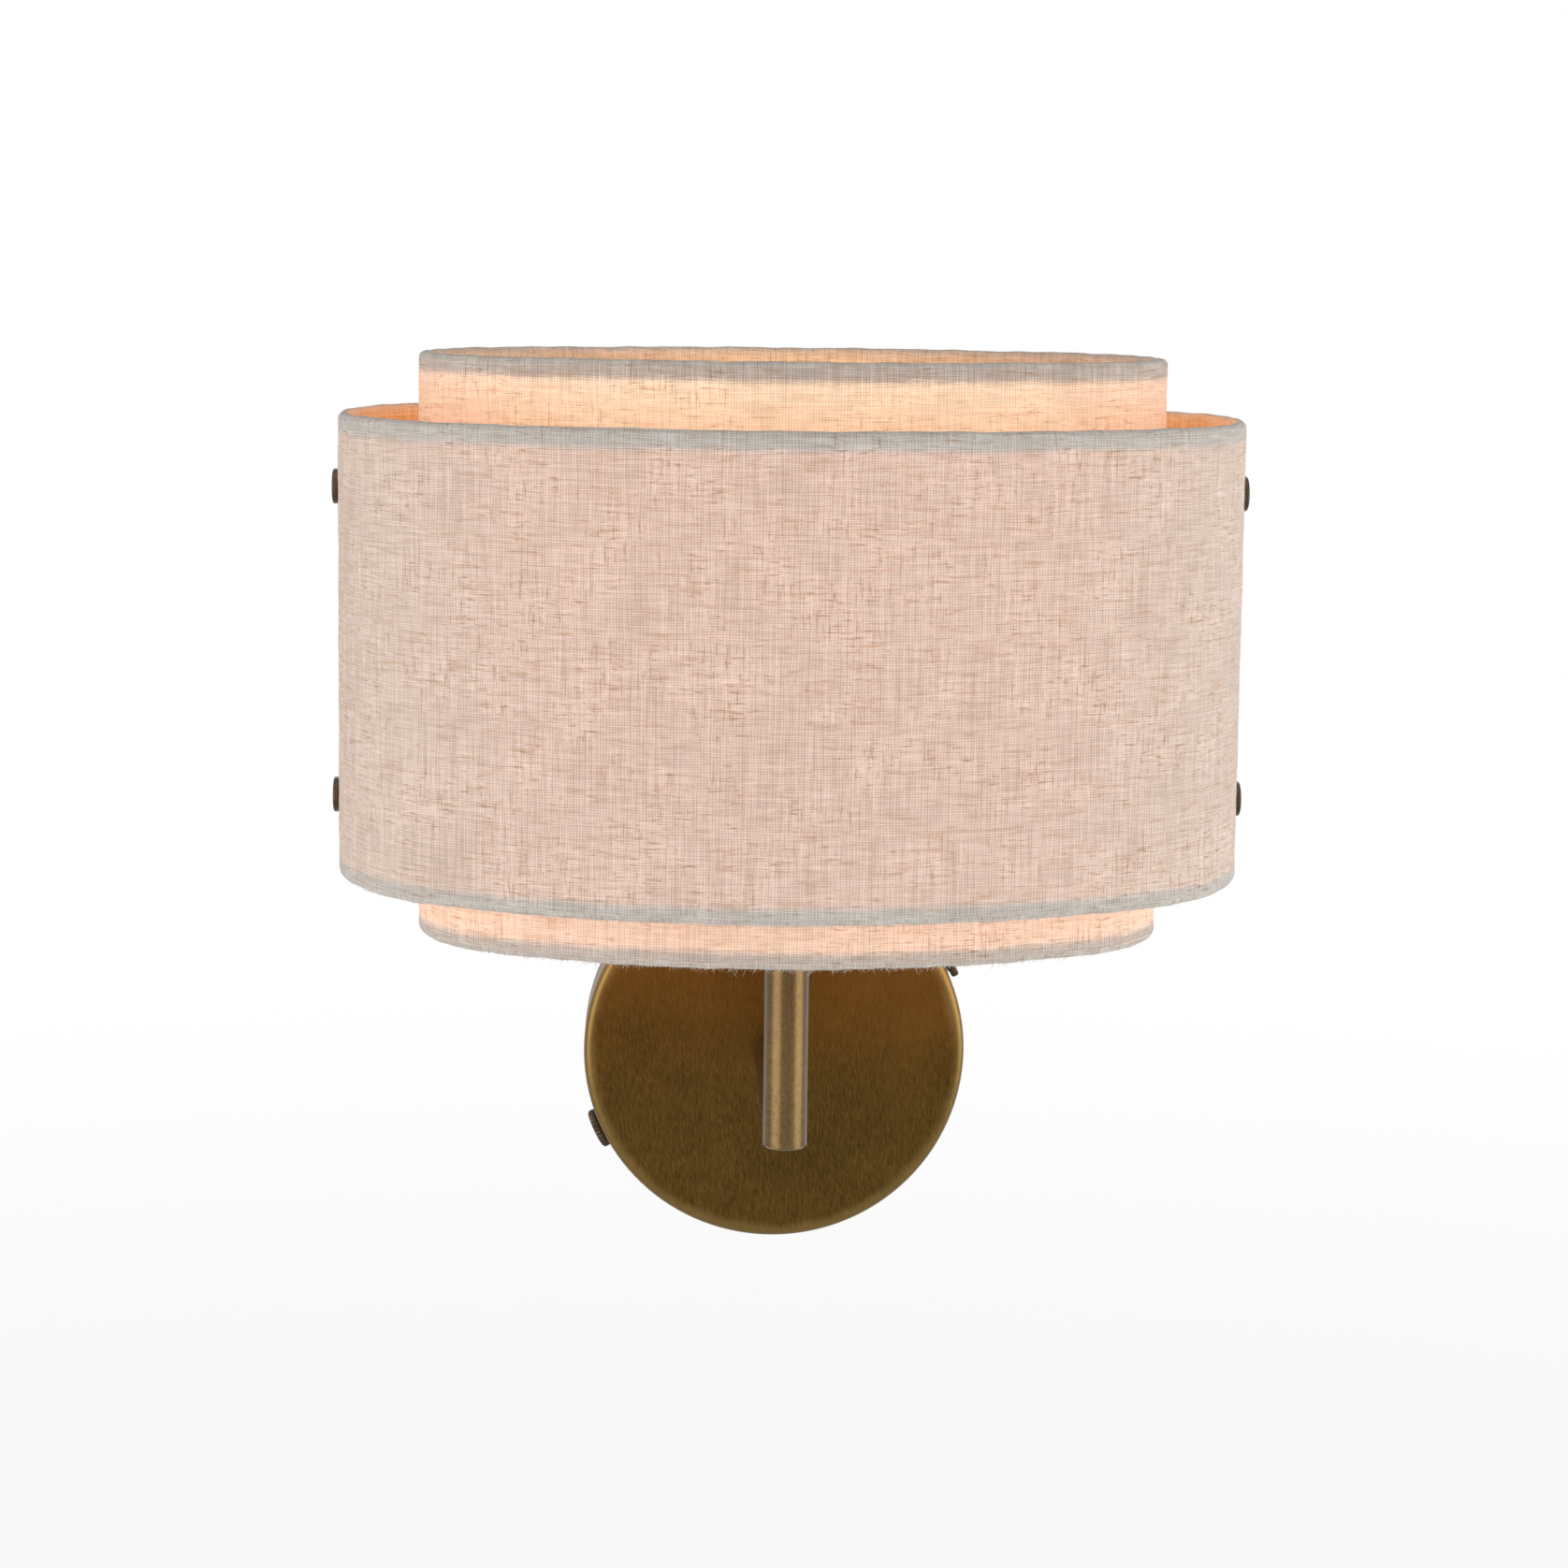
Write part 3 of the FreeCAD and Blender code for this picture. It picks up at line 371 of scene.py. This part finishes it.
def dress_shade(which, seed, cloth, shadow, *glows):
    """The linen cover and loose fibres that stand for one shade's plain solid; gives its oval."""
    node = which + "_linen"
    inset = 0.0 if which == "outer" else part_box("outer_linen")[1].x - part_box("inner_linen")[1].x
    oval = Oval(node, END_RADIUS - inset)
    ring_low, ring_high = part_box(which + "_top_ring")
    roll = (ring_high.z - ring_low.z) / 2 + (oval.high - ring_high.z)
    cover = linen_cover(which + "_cover", oval, roll, seed)
    linen_finish(which + "_linen_cloth", oval, roll, cloth, shadow, *glows).dress(cover)
    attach(cover, "lamp")
    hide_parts(node)
    fray = frayed_threads(which + "_fray", oval, roll, seed + 5, cloth, shadow)
    return oval


FIBRES = 1000
TUFTED = FIBRES // 4         # fibres that stand in tufts
WORN = FIBRES // 2           # fibres about the front's middle, where the hem is most worn
TUFTS = 24
TUFT_SPREAD = 0.004
WORN_SPREAD = 0.05
WORN_HALF = 0.04             # within this distance of the front's middle they keep their length
FIBRE_LENGTH = (0.0003, 0.0032)
FIBRE_ROOT = 0.0002          # how far above the hem's lowest line a fibre starts
FIBRE_RADIUS = 0.00007
FIBRE_RINGS = 6
FIBRE_SIDES = 3


def frayed_threads(name, oval, roll, seed, cloth, shadow):
    """Loose fibres along the lower hem. Each leaves the hem at a random distance s round the oval.
    At t from 0 to 1 along it, s moves by length * (lean * t + curl * t * t) and z falls by length * t
    less a share that grows with t and curl. It is a tube that thins towards its end."""
    rng = np.random.default_rng(seed)
    start = rng.uniform(0, oval.girth, FIBRES)
    tuft = rng.choice(rng.uniform(0, oval.girth, TUFTS), TUFTED) + rng.normal(0, TUFT_SPREAD, TUFTED)
    front = oval.girth / 2 + rng.normal(0, WORN_SPREAD, WORN)
    start[:TUFTED] = tuft % oval.girth
    start[-WORN:] = front % oval.girth
    far = abs(start - oval.girth / 2).clip(WORN_HALF, 3 * WORN_HALF) - WORN_HALF
    length = rng.gamma(2.2, 0.00034, FIBRES).clip(*FIBRE_LENGTH) * (1 - 7 * far)
    lean = rng.normal(0, 0.55, FIBRES)
    curl = rng.normal(0, 0.8, FIBRES)
    out = rng.normal(0, 0.35, FIBRES)
    t = np.linspace(0, 1, FIBRE_RINGS)[:, None]
    along = start + length * (lean * t + curl * t * t)
    depth = roll + rng.normal(0, roll * 0.3, FIBRES) - length * out * t
    drop = length * t * (1 - 0.25 * t * abs(curl).clip(0, 2))
    x, y = oval.walk(along % oval.girth, depth)
    z = oval.low + FIBRE_ROOT - drop
    around = np.linspace(0, 2 * np.pi, FIBRE_SIDES + 1)[:-1]
    radius = FIBRE_RADIUS * (1.15 - t)
    ring_x = x[..., None] + radius[..., None] * np.cos(around)
    ring_y = y[..., None] + radius[..., None] * np.sin(around)
    ring_z = np.broadcast_to(z[..., None], ring_x.shape)
    grid = np.stack([ring_x, ring_y, ring_z], axis=-1).transpose(1, 0, 2, 3).reshape(-1, 3)
    fibre, ring, side = np.meshgrid(np.arange(FIBRES), np.arange(FIBRE_RINGS - 1),
                                    np.arange(FIBRE_SIDES), indexing="ij")
    first = ((fibre * FIBRE_RINGS + ring) * FIBRE_SIDES).ravel()
    here, beside = first + side.ravel(), first + (side.ravel() + 1) % FIBRE_SIDES
    mesh = bpy.data.meshes.new(name)
    faces = np.stack([here, beside, beside + FIBRE_SIDES, here + FIBRE_SIDES], axis=-1)
    mesh.from_pydata(grid, [], faces.tolist())
    fray = into_scene(name, mesh)
    finish = Finish(name + "_fibre")
    finish.set(Base_Color=finish.mix(finish.noise(finish.spot(), 400.0), shadow, cloth), Roughness=0.9)
    finish.dress(fray)
    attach(fray, "lamp")
    return fray


# The last four colours of each shade are painted glow: top, narrow ends, bottom and turned-in hem.
outer_oval = dress_shade(
    "outer", 11, tint(227, 221, 214), tint(172, 164, 156), (0.26, 0.075, 0.015, 1.0),
    (0.16, 0.055, 0.010, 1.0), (0.23, 0.065, 0.012, 1.0), (0.44, 0.15, 0.03, 1.0))
inner_oval = dress_shade(
    "inner", 23, tint(227, 220, 212), tint(172, 163, 153), (0.54, 0.36, 0.20, 1.0),
    (0.51, 0.26, 0.13, 1.0), (0.41, 0.22, 0.12, 1.0), (0.06, 0.025, 0.005, 1.0))

# ---------------------------------------------------------------------------------------------
# Linings and rings. A stiff clear film is bonded behind each linen; seen from inside it carries the
# lamp's light, painted on as emission. The 2 mm wire rings lie hidden in the rolled hems.


def lining_finish(name, colour, glow, glow_low, low, high):
    """Film that shows the weave behind it faintly; painted glow, brightest beside the bulb."""
    finish = Finish(name)
    spot = finish.spot()
    z = finish.split(spot)[2]
    cloud = finish.noise(spot, 180.0, 3.0, 0.6)
    fine = finish.noise(spot, 1800.0, 2.0, 0.6)
    # painted glow: the lamp's light on the film as emission, changing from bottom to top
    painted_warm_light = finish.mix(z.rise(low, high), glow_low, glow)
    painted_warm_light = finish.mix((cloud - 0.5) * 0.35 + (fine - 0.5) * 0.5 + 0.9, UNLIT, painted_warm_light)
    finish.set(Base_Color=finish.mix(cloud, colour, tint(214, 170, 128)), Roughness=0.45)
    finish.set(Emission_Color=painted_warm_light, Emission_Strength=1.0, Normal=finish.bump(fine, 0.0001))
    return finish


lining_finish("outer_film", tint(190, 128, 84), (0.50, 0.17, 0.045, 1.0), (0.34, 0.11, 0.03, 1.0),
              outer_oval.low, outer_oval.high).dress(nodes["outer_liner"])
lining_finish("inner_film", tint(220, 190, 150), (0.20, 0.10, 0.05, 1.0), (0.34, 0.17, 0.06, 1.0),
              inner_oval.low, inner_oval.high).dress(nodes["inner_liner"])


def plain_metal(name, bright, dark, roughness, scale=900.0, depth=0.00002):
    """Metal with fine uneven tarnish and a faint grain."""
    finish = Finish(name)
    spot = finish.spot()
    grain = finish.noise(spot, scale, 4.0, 0.6)
    patch = finish.noise(spot, 120.0, 3.0, 0.6)
    colour = finish.mix((patch + grain) * 0.5, dark, bright)
    finish.set(Base_Color=colour, Metallic=1.0, Roughness=(grain - 0.5) * 0.2 + roughness)
    finish.set(Normal=finish.bump(grain, depth))
    return finish


zinc = plain_metal("zinc_plate", tint(176, 178, 180), tint(120, 122, 126), 0.34)
for which in ("outer", "inner"):
    zinc.dress(nodes[which + "_top_ring"], nodes[which + "_bottom_ring"])

# ---------------------------------------------------------------------------------------------
# Carrier, spacers, nuts and studs. A zinc-plated strip bent to a U stands on the upright; four
# dark bronze studs pass through both shades and the spacers into nuts behind its legs.

zinc.dress(nodes["shade_carrier"], nodes["carrier_washer"], nodes["shade_nuts"], nodes["canopy_washer"])
bronze = plain_metal("dark_bronze", tint(96, 82, 66), tint(44, 36, 30), 0.38, 1400.0, 0.00003)
bronze.dress(nodes["shade_spacers"])


def turned_piece(name, radius, height, foot, along, across, teeth=0, tooth=0.0):
    """The profile (radius, height) turned about along through foot: ring k has the points
    foot + height[k] * along + radius[k] * (cos a * across + sin a * along x across). With teeth,
    the widest rings dip by tooth between them."""
    radius, height = np.asarray(radius), np.asarray(height)
    along, across = np.asarray(along, float), np.asarray(across, float)
    steps = max(48, teeth * 4)
    angle = np.linspace(0, 2 * np.pi, steps, endpoint=False)
    wide = (radius > radius.max() * 0.97)[:, None]
    dip = tooth * wide * (0.5 - 0.5 * np.cos(teeth * angle))
    reach = (radius[:, None] - dip)[..., None]
    ring = np.cos(angle)[:, None] * across + np.sin(angle)[:, None] * np.cross(along, across)
    points = np.asarray(foot) + height[:, None, None] * along + reach * ring
    piece = grid_mesh(name, points[..., 0], points[..., 1], points[..., 2], wrap=(False, True))
    piece.data.set_sharp_from_angle(angle=0.5)
    return piece


STUD_RADIUS = 0.002
STUD_HEAD = 0.005
STUD_HEAD_THICK = 0.0016
STUD_EDGE = 0.0005
STUD_CROWN = 0.0001          # rise of the flat face towards its middle
AXIS_HOLE = 0.00002          # radius left at the axis of a turned piece
SEAT_GAP = 0.00005
NUT_AND_END = 0.0047         # nut's thickness and the bit of stud past it
studs_low, studs_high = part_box("shade_studs")
seat = outer_oval.half + SEAT_GAP
shank = seat - (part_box("shade_nuts")[1].x - NUT_AND_END)
bend = np.linspace(0, np.pi / 2, 6)
stud_radius = np.concatenate([[AXIS_HOLE, STUD_RADIUS, STUD_RADIUS, STUD_HEAD],
                              STUD_HEAD - STUD_EDGE + STUD_EDGE * np.cos(bend), [AXIS_HOLE]])
stud_height = np.concatenate([[-shank, -shank, 0.0, 0.0],
                              STUD_HEAD_THICK - STUD_EDGE + STUD_EDGE * np.sin(bend),
                              [STUD_HEAD_THICK + STUD_CROWN]])
studs = []
for side, hand in ((-1, "left"), (1, "right")):
    for level, stud_z in (("lower", studs_low.z + STUD_HEAD), ("upper", studs_high.z - STUD_HEAD)):
        foot = (side * seat, outer_oval.middle.y, stud_z)
        name = "stud_" + hand + "_" + level
        stud = turned_piece(name, stud_radius, stud_height, foot, (side, 0, 0), (0, 0, 1))
        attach(stud, "lamp")
        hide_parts("shade_studs")
        studs.append(stud)
bronze.dress(*studs)

# ---------------------------------------------------------------------------------------------
# Lampholder. Cream moulded cup and fluted sleeve with a ceramic contact block, a brass screw
# shell and a brass button under the bulb.

moulding = Finish("cream_moulding")
mottle = moulding.noise(moulding.spot(), 260.0, 3.0)
moulding.set(Base_Color=moulding.mix(mottle, tint(214, 206, 190), tint(238, 232, 218)))
moulding.set(Roughness=mottle * 0.15 + 0.28, Normal=moulding.bump(mottle, 0.00002))
moulding.dress(nodes["holder_base"], nodes["holder_sleeve"])

ceramic = Finish("porcelain")
speck = ceramic.noise(ceramic.spot(), 700.0, 3.0)
ceramic.set(Base_Color=ceramic.mix(speck, tint(226, 222, 212), tint(242, 240, 234)), Roughness=0.55)
ceramic.dress(nodes["contact_block"])

bright_brass = plain_metal("turned_brass", tint(214, 176, 104), tint(164, 124, 62), 0.24)
bright_brass.dress(nodes["screw_shell"], nodes["centre_contact"], nodes["canopy_nipple"],
                   nodes["top_nipple"], nodes["canopy_nut"], nodes["terminal_screws"],
                   nodes["earth_screw"])

# ---------------------------------------------------------------------------------------------
# Bulb. Opal glass pear on a nickel screw cap, with a black glass insulator and a solder tip. The
# glass is lit evenly by the rods inside, a little warmer towards the neck.

opal = Finish("opal_glass")
opal_spot = opal.spot()
glass_low, glass_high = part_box("bulb_glass")
up_glass = opal.split(opal_spot)[2].rise(glass_low.z, (glass_low.z + glass_high.z) / 2)
lit = opal.mix(up_glass, (0.60, 0.34, 0.14, 1.0), (0.92, 0.68, 0.38, 1.0))
lit = opal.mix(opal.noise(opal_spot, 90.0, 2.0) * 0.12 + 0.92, UNLIT, lit)
opal.set(Base_Color=tint(250, 240, 222), Roughness=0.22, Emission_Color=lit, Emission_Strength=0.85)
opal.dress(nodes["bulb_glass"])

nickel = plain_metal("nickel", tint(196, 190, 180), tint(140, 134, 124), 0.22)
nickel.dress(nodes["bulb_cap"], nodes["bulb_tip"], nodes["earth_tag"])

black = Finish("black_glass")
smoke = black.noise(black.spot(), 400.0, 2.0)
black.set(Base_Color=black.mix(smoke, tint(12, 12, 14), tint(34, 34, 36)), Roughness=smoke * 0.1 + 0.12)
black.dress(nodes["bulb_insulator"])

stem = Finish("stem_glass")
stem_haze = stem.noise(stem.spot(), 300.0)
stem.set(Base_Color=stem.mix(stem_haze, tint(214, 222, 220), tint(236, 240, 238)), Roughness=0.08)
stem.dress(nodes["bulb_stem"])

phosphor = Finish("phosphor")
powder = phosphor.noise(phosphor.spot(), 900.0)
phosphor.set(Base_Color=phosphor.mix(powder, tint(236, 178, 60), tint(248, 204, 96)), Roughness=0.6)
phosphor.set(Emission_Color=(1.0, 0.7, 0.3, 1.0), Emission_Strength=1.0)
phosphor.dress(nodes["led_filaments"])

# ---------------------------------------------------------------------------------------------
# Arm and wall plate. Antique brass: a 13 mm tube stands on a level stub behind it, and the spun
# plate is brushed straight up and down, darkest where the lacquer has dulled.


def antique_brass(name, bright, dark, painted_warm_light, pale_rim_start, low, high, grain, slant, roughness, lacquer):
    """Dull lacquered brass. grain gives how often the brush marks change along x, y and z, and slant
    is the slope of the second set of marks. Towards high it is redder: painted warm lamp light. On
    the front past the given reach from the y axis it is paler: painted rim highlight and rubbed wear."""
    finish = Finish(name)
    spot = finish.spot()
    x, y, z = finish.split(spot)
    hair = finish.noise(finish.vector(x * grain[0], y * grain[1], z * grain[2]), 1.0, 4.0, 0.7)
    cross, down = x + y + z * slant, z - (x + y) * slant
    swirl = finish.noise(finish.vector(cross * grain[0], 0.0, down * grain[2]), 1.0, 4.0, 0.75)
    patch = finish.noise(spot, 30.0, 4.0, 0.6)
    tone = ((hair - 0.5) * 1.7 + (swirl - 0.5) * 2.2 + (patch - 0.5) * 0.8 + 0.5).most(0.0).least(1.0)
    colour = finish.mix(tone, dark, bright)
    # painted warm light: redder towards high, where the lamp's glow falls from the shade
    colour = finish.mix((z + (patch - 0.5) * 0.05).rise(low, high) * 0.7, colour, painted_warm_light)
    # paler front rim: painted highlight on the rounded edge, partly rubbed wear
    rim_highlight_and_wear = ((x * x + z * z).root() + (patch - 0.5) * 0.006).rise(pale_rim_start, pale_rim_start + 0.004)
    rim_highlight_and_wear = rim_highlight_and_wear * (y * -1.0).rise(0.014, 0.020) * 0.4
    colour = finish.mix(rim_highlight_and_wear, colour, tint(146, 122, 74))
    finish.set(Base_Color=colour, Metallic=1.0, Roughness=(swirl - 0.5) * 0.25 + roughness)
    finish.set(Coat_Weight=lacquer, Coat_Roughness=0.25, Normal=finish.bump(swirl, 0.00003))
    return finish


# The third colour of each is painted warm light from the lamp above.
plate_brass = antique_brass("brushed_plate", tint(101, 75, 30), tint(50, 36, 8), tint(112, 66, 18),
                            0.055, -0.03, 0.06, (2600.0, 2600.0, 260.0), 0.35, 0.42, 0.08)
plate_brass.dress(nodes["canopy"])
tube_brass = antique_brass("drawn_tube", tint(112, 89, 52), tint(74, 56, 27), tint(92, 67, 33),
                           1.0, 0.0, 0.08, (1700.0, 1700.0, 500.0), 0.9, 0.30, 0.28)
tube_brass.dress(nodes["stub_tube"], nodes["upright_tube"], nodes["tube_end_plug"])

THUMB_LEAN = math.radians(26.7)
THUMB_SHANK = 0.002
THUMB_HEAD = 0.00625
THUMB_THICK = 0.0024
THUMB_BEVEL = 0.0005
THUMB_COLLAR = 0.0004
THUMB_COLLAR_RADIUS = 0.004
THUMB_REACH = 0.009
KNURLS = 30
KNURL_DEPTH = 0.0004
thumb_rim = THUMB_HEAD - THUMB_BEVEL
thumb_top = THUMB_COLLAR + THUMB_THICK
thumb_outline = np.array([
    (AXIS_HOLE, -THUMB_REACH), (THUMB_SHANK, -THUMB_REACH), (THUMB_SHANK, 0),
    (THUMB_COLLAR_RADIUS, 0), (THUMB_COLLAR_RADIUS, THUMB_COLLAR), (thumb_rim, THUMB_COLLAR),
    (THUMB_HEAD, THUMB_COLLAR + THUMB_BEVEL), (THUMB_HEAD, thumb_top - THUMB_BEVEL),
    (thumb_rim, thumb_top), (AXIS_HOLE, thumb_top)])
plate_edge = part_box("canopy")[1].x + SEAT_GAP
for level, side in (("lower", -1), ("upper", 1)):
    node = "thumb_screw_" + level
    thumb_low, thumb_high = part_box(node)
    along = np.array([side * math.cos(THUMB_LEAN), 0.0, side * math.sin(THUMB_LEAN)])
    foot = along * plate_edge + (0.0, (thumb_low.y + thumb_high.y) / 2, 0.0)
    thumb = turned_piece(node + "_knurled", thumb_outline[:, 0], thumb_outline[:, 1], foot, along,
                         (0, 1, 0), KNURLS, KNURL_DEPTH)
    bronze.dress(thumb)
    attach(thumb, level + "_thumb_screw")
    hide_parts(node)

# ---------------------------------------------------------------------------------------------
# Bracket and wiring inside the plate. Zinc-plated steel strip on the wall, a rubber bush round the
# cable hole, a pale terminal block, and insulated wires to the lampholder and the earth tag.

zinc.dress(nodes["wall_bracket"], nodes["block_screws"])


def moulded(name, dark, light, roughness, scale):
    finish = Finish(name)
    cloud = finish.noise(finish.spot(), scale, 3.0, 0.6)
    finish.set(Base_Color=finish.mix(cloud, dark, light), Roughness=cloud * 0.15 + roughness)
    finish.set(Normal=finish.bump(cloud, 0.00002))
    return finish


moulded("bush_rubber", tint(22, 22, 22), tint(44, 43, 42), 0.6, 500.0).dress(nodes["cable_bush"])
block_plastic = moulded("block_plastic", tint(206, 202, 190), tint(232, 230, 220), 0.36, 300.0)
block_plastic.dress(nodes["terminal_block"])
moulded("brown_sleeve", tint(84, 46, 24), tint(112, 64, 36), 0.4, 400.0).dress(nodes["live_wire"])
moulded("blue_sleeve", tint(30, 74, 150), tint(48, 98, 176), 0.4, 400.0).dress(nodes["neutral_wire"])
moulded("green_sleeve", tint(70, 120, 40), tint(190, 196, 50), 0.4, 160.0).dress(nodes["earth_wire"])

# ---------------------------------------------------------------------------------------------
# Room. A plain pale floor far below the light, which hangs where its wall would be, soft studio
# lamps either side of the camera, and a white backdrop from the world.

FLOOR_DROP = 0.30
FLOOR_HALF = 14.0
SHADOW_SHARE = 0.14          # how much of the floor's own shading the camera sees near the light
SHADOW_NEAR, SHADOW_FAR = 0.5, 1.7
FILL_STRENGTH = 0.20
WHITE = (1.0, 1.0, 1.0, 1.0)


def white_rays(shading):
    """1 for rays from the camera, and for those that metal or glass sends on, else 0."""
    seen = shading.node("ShaderNodeLightPath", output="Is Camera Ray")
    return seen.most(seen.other("Is Glossy Ray")).most(seen.other("Is Transmission Ray"))


corner = np.array([-FLOOR_HALF, FLOOR_HALF])
floor_x, floor_y = np.meshgrid(corner, corner)
floor = grid_mesh("floor", floor_x, floor_y, np.full((2, 2), cad_box[0][2] - FLOOR_DROP))
pale = Finish("pale_floor")
pale.set(Base_Color=(0.88, 0.88, 0.88, 1.0), Roughness=0.9)
pale_x, pale_y, _ = pale.split(pale.spot())
away = (pale_x * pale_x + pale_y * pale_y).root().rise(SHADOW_NEAR, SHADOW_FAR)
whiteness = white_rays(pale) * (away * SHADOW_SHARE + (1 - SHADOW_SHARE))
white = pale.node("ShaderNodeEmission", None, {"Color": WHITE, "Strength": 1.0})
shaded = Field(pale, pale.surface.outputs[0])
both = pale.node("ShaderNodeMixShader", None, {0: whiteness, 1: shaded, 2: white})
pale.connect(pale.tree.nodes["Material Output"].inputs["Surface"], both)
pale.dress(floor)

studio = bpy.data.worlds.new("studio")
bpy.context.scene.world = studio
studio.use_nodes = True
sky = Shading(studio.node_tree)
sky.tree.nodes.remove(sky.tree.nodes["Background"])
fill = sky.node("ShaderNodeBackground", None, {"Color": (0.8, 0.8, 0.8, 1.0), "Strength": FILL_STRENGTH})
backdrop = sky.node("ShaderNodeBackground", None, {"Color": WHITE, "Strength": 1.0})
either = sky.node("ShaderNodeMixShader", None, {0: white_rays(sky), 1: fill, 2: backdrop})
sky.connect(sky.tree.nodes["World Output"].inputs["Surface"], either)


def softbox(name, place, target, size, power):
    """Rectangular lamp at place, aimed at target."""
    lamp = bpy.data.lights.new(name, "AREA")
    lamp.shape = "RECTANGLE"
    lamp.size, lamp.size_y = size
    lamp.energy = power
    holder = into_scene(name, lamp)
    holder.location = place
    holder.rotation_euler = (Vector(target) - Vector(place)).to_track_quat("-Z", "Y").to_euler()


middle = (outer_oval.middle.x, outer_oval.middle.y, 0.09)
softbox("left_box", (-0.84, -0.76, 0.10), middle, (0.85, 1.10), 8.6)
softbox("right_box", (1.02, -0.52, 0.10), middle, (0.85, 1.10), 10.0)
softbox("top_box", (0.0, -0.5, 1.6), middle, (1.6, 1.2), 6.0)
softbox("back_box", (0.0, 1.6, 0.7), middle, (1.6, 1.2), 8.0)


def warm_light(name, place, power):
    """Small warm lamp that carries the bulb's light where the closed glass keeps it in."""
    lamp = bpy.data.lights.new(name, "POINT")
    lamp.energy = power
    lamp.color = (1.0, 0.66, 0.36)
    lamp.shadow_soft_size = 0.006
    into_scene(name, lamp).location = place


upright_x, upright_y = outer_oval.middle.x, outer_oval.middle.y
warm_light("glow_above", (upright_x, upright_y, glass_high.z + 0.008), 0.03)
warm_light("glow_left", (upright_x - 0.06, upright_y, inner_oval.low + 0.03), 0.12)
warm_light("glow_right", (upright_x + 0.06, upright_y, inner_oval.low + 0.03), 0.12)

# ---------------------------------------------------------------------------------------------
# Camera. Eye a little above the inner shade and left of the middle, tilted down by less than the
# view needs and shifted for the rest, so that the shades' sides stay nearly upright.

CAMERA_PLACE = (-0.0394, -1.026, 0.2574)
CAMERA_TILT = math.radians(6.41)
CAMERA_ROLL = math.radians(0.69)
CAMERA_TURN = math.radians(-2.32)
LENS = 74.85
SHIFT = -0.12

camera = bpy.data.cameras.new("camera")
camera.lens = LENS
camera.sensor_width = 36.0
camera.shift_y = SHIFT
camera_holder = into_scene("camera", camera)
camera_holder.location = CAMERA_PLACE
aim = Matrix.Rotation(CAMERA_TURN, 3, "Z") @ Matrix.Rotation(math.pi / 2 - CAMERA_TILT, 3, "X")
camera_holder.rotation_euler = (aim @ Matrix.Rotation(CAMERA_ROLL, 3, "Z")).to_euler()
bpy.context.scene.camera = camera_holder
bpy.context.scene.view_settings.view_transform = "Standard"
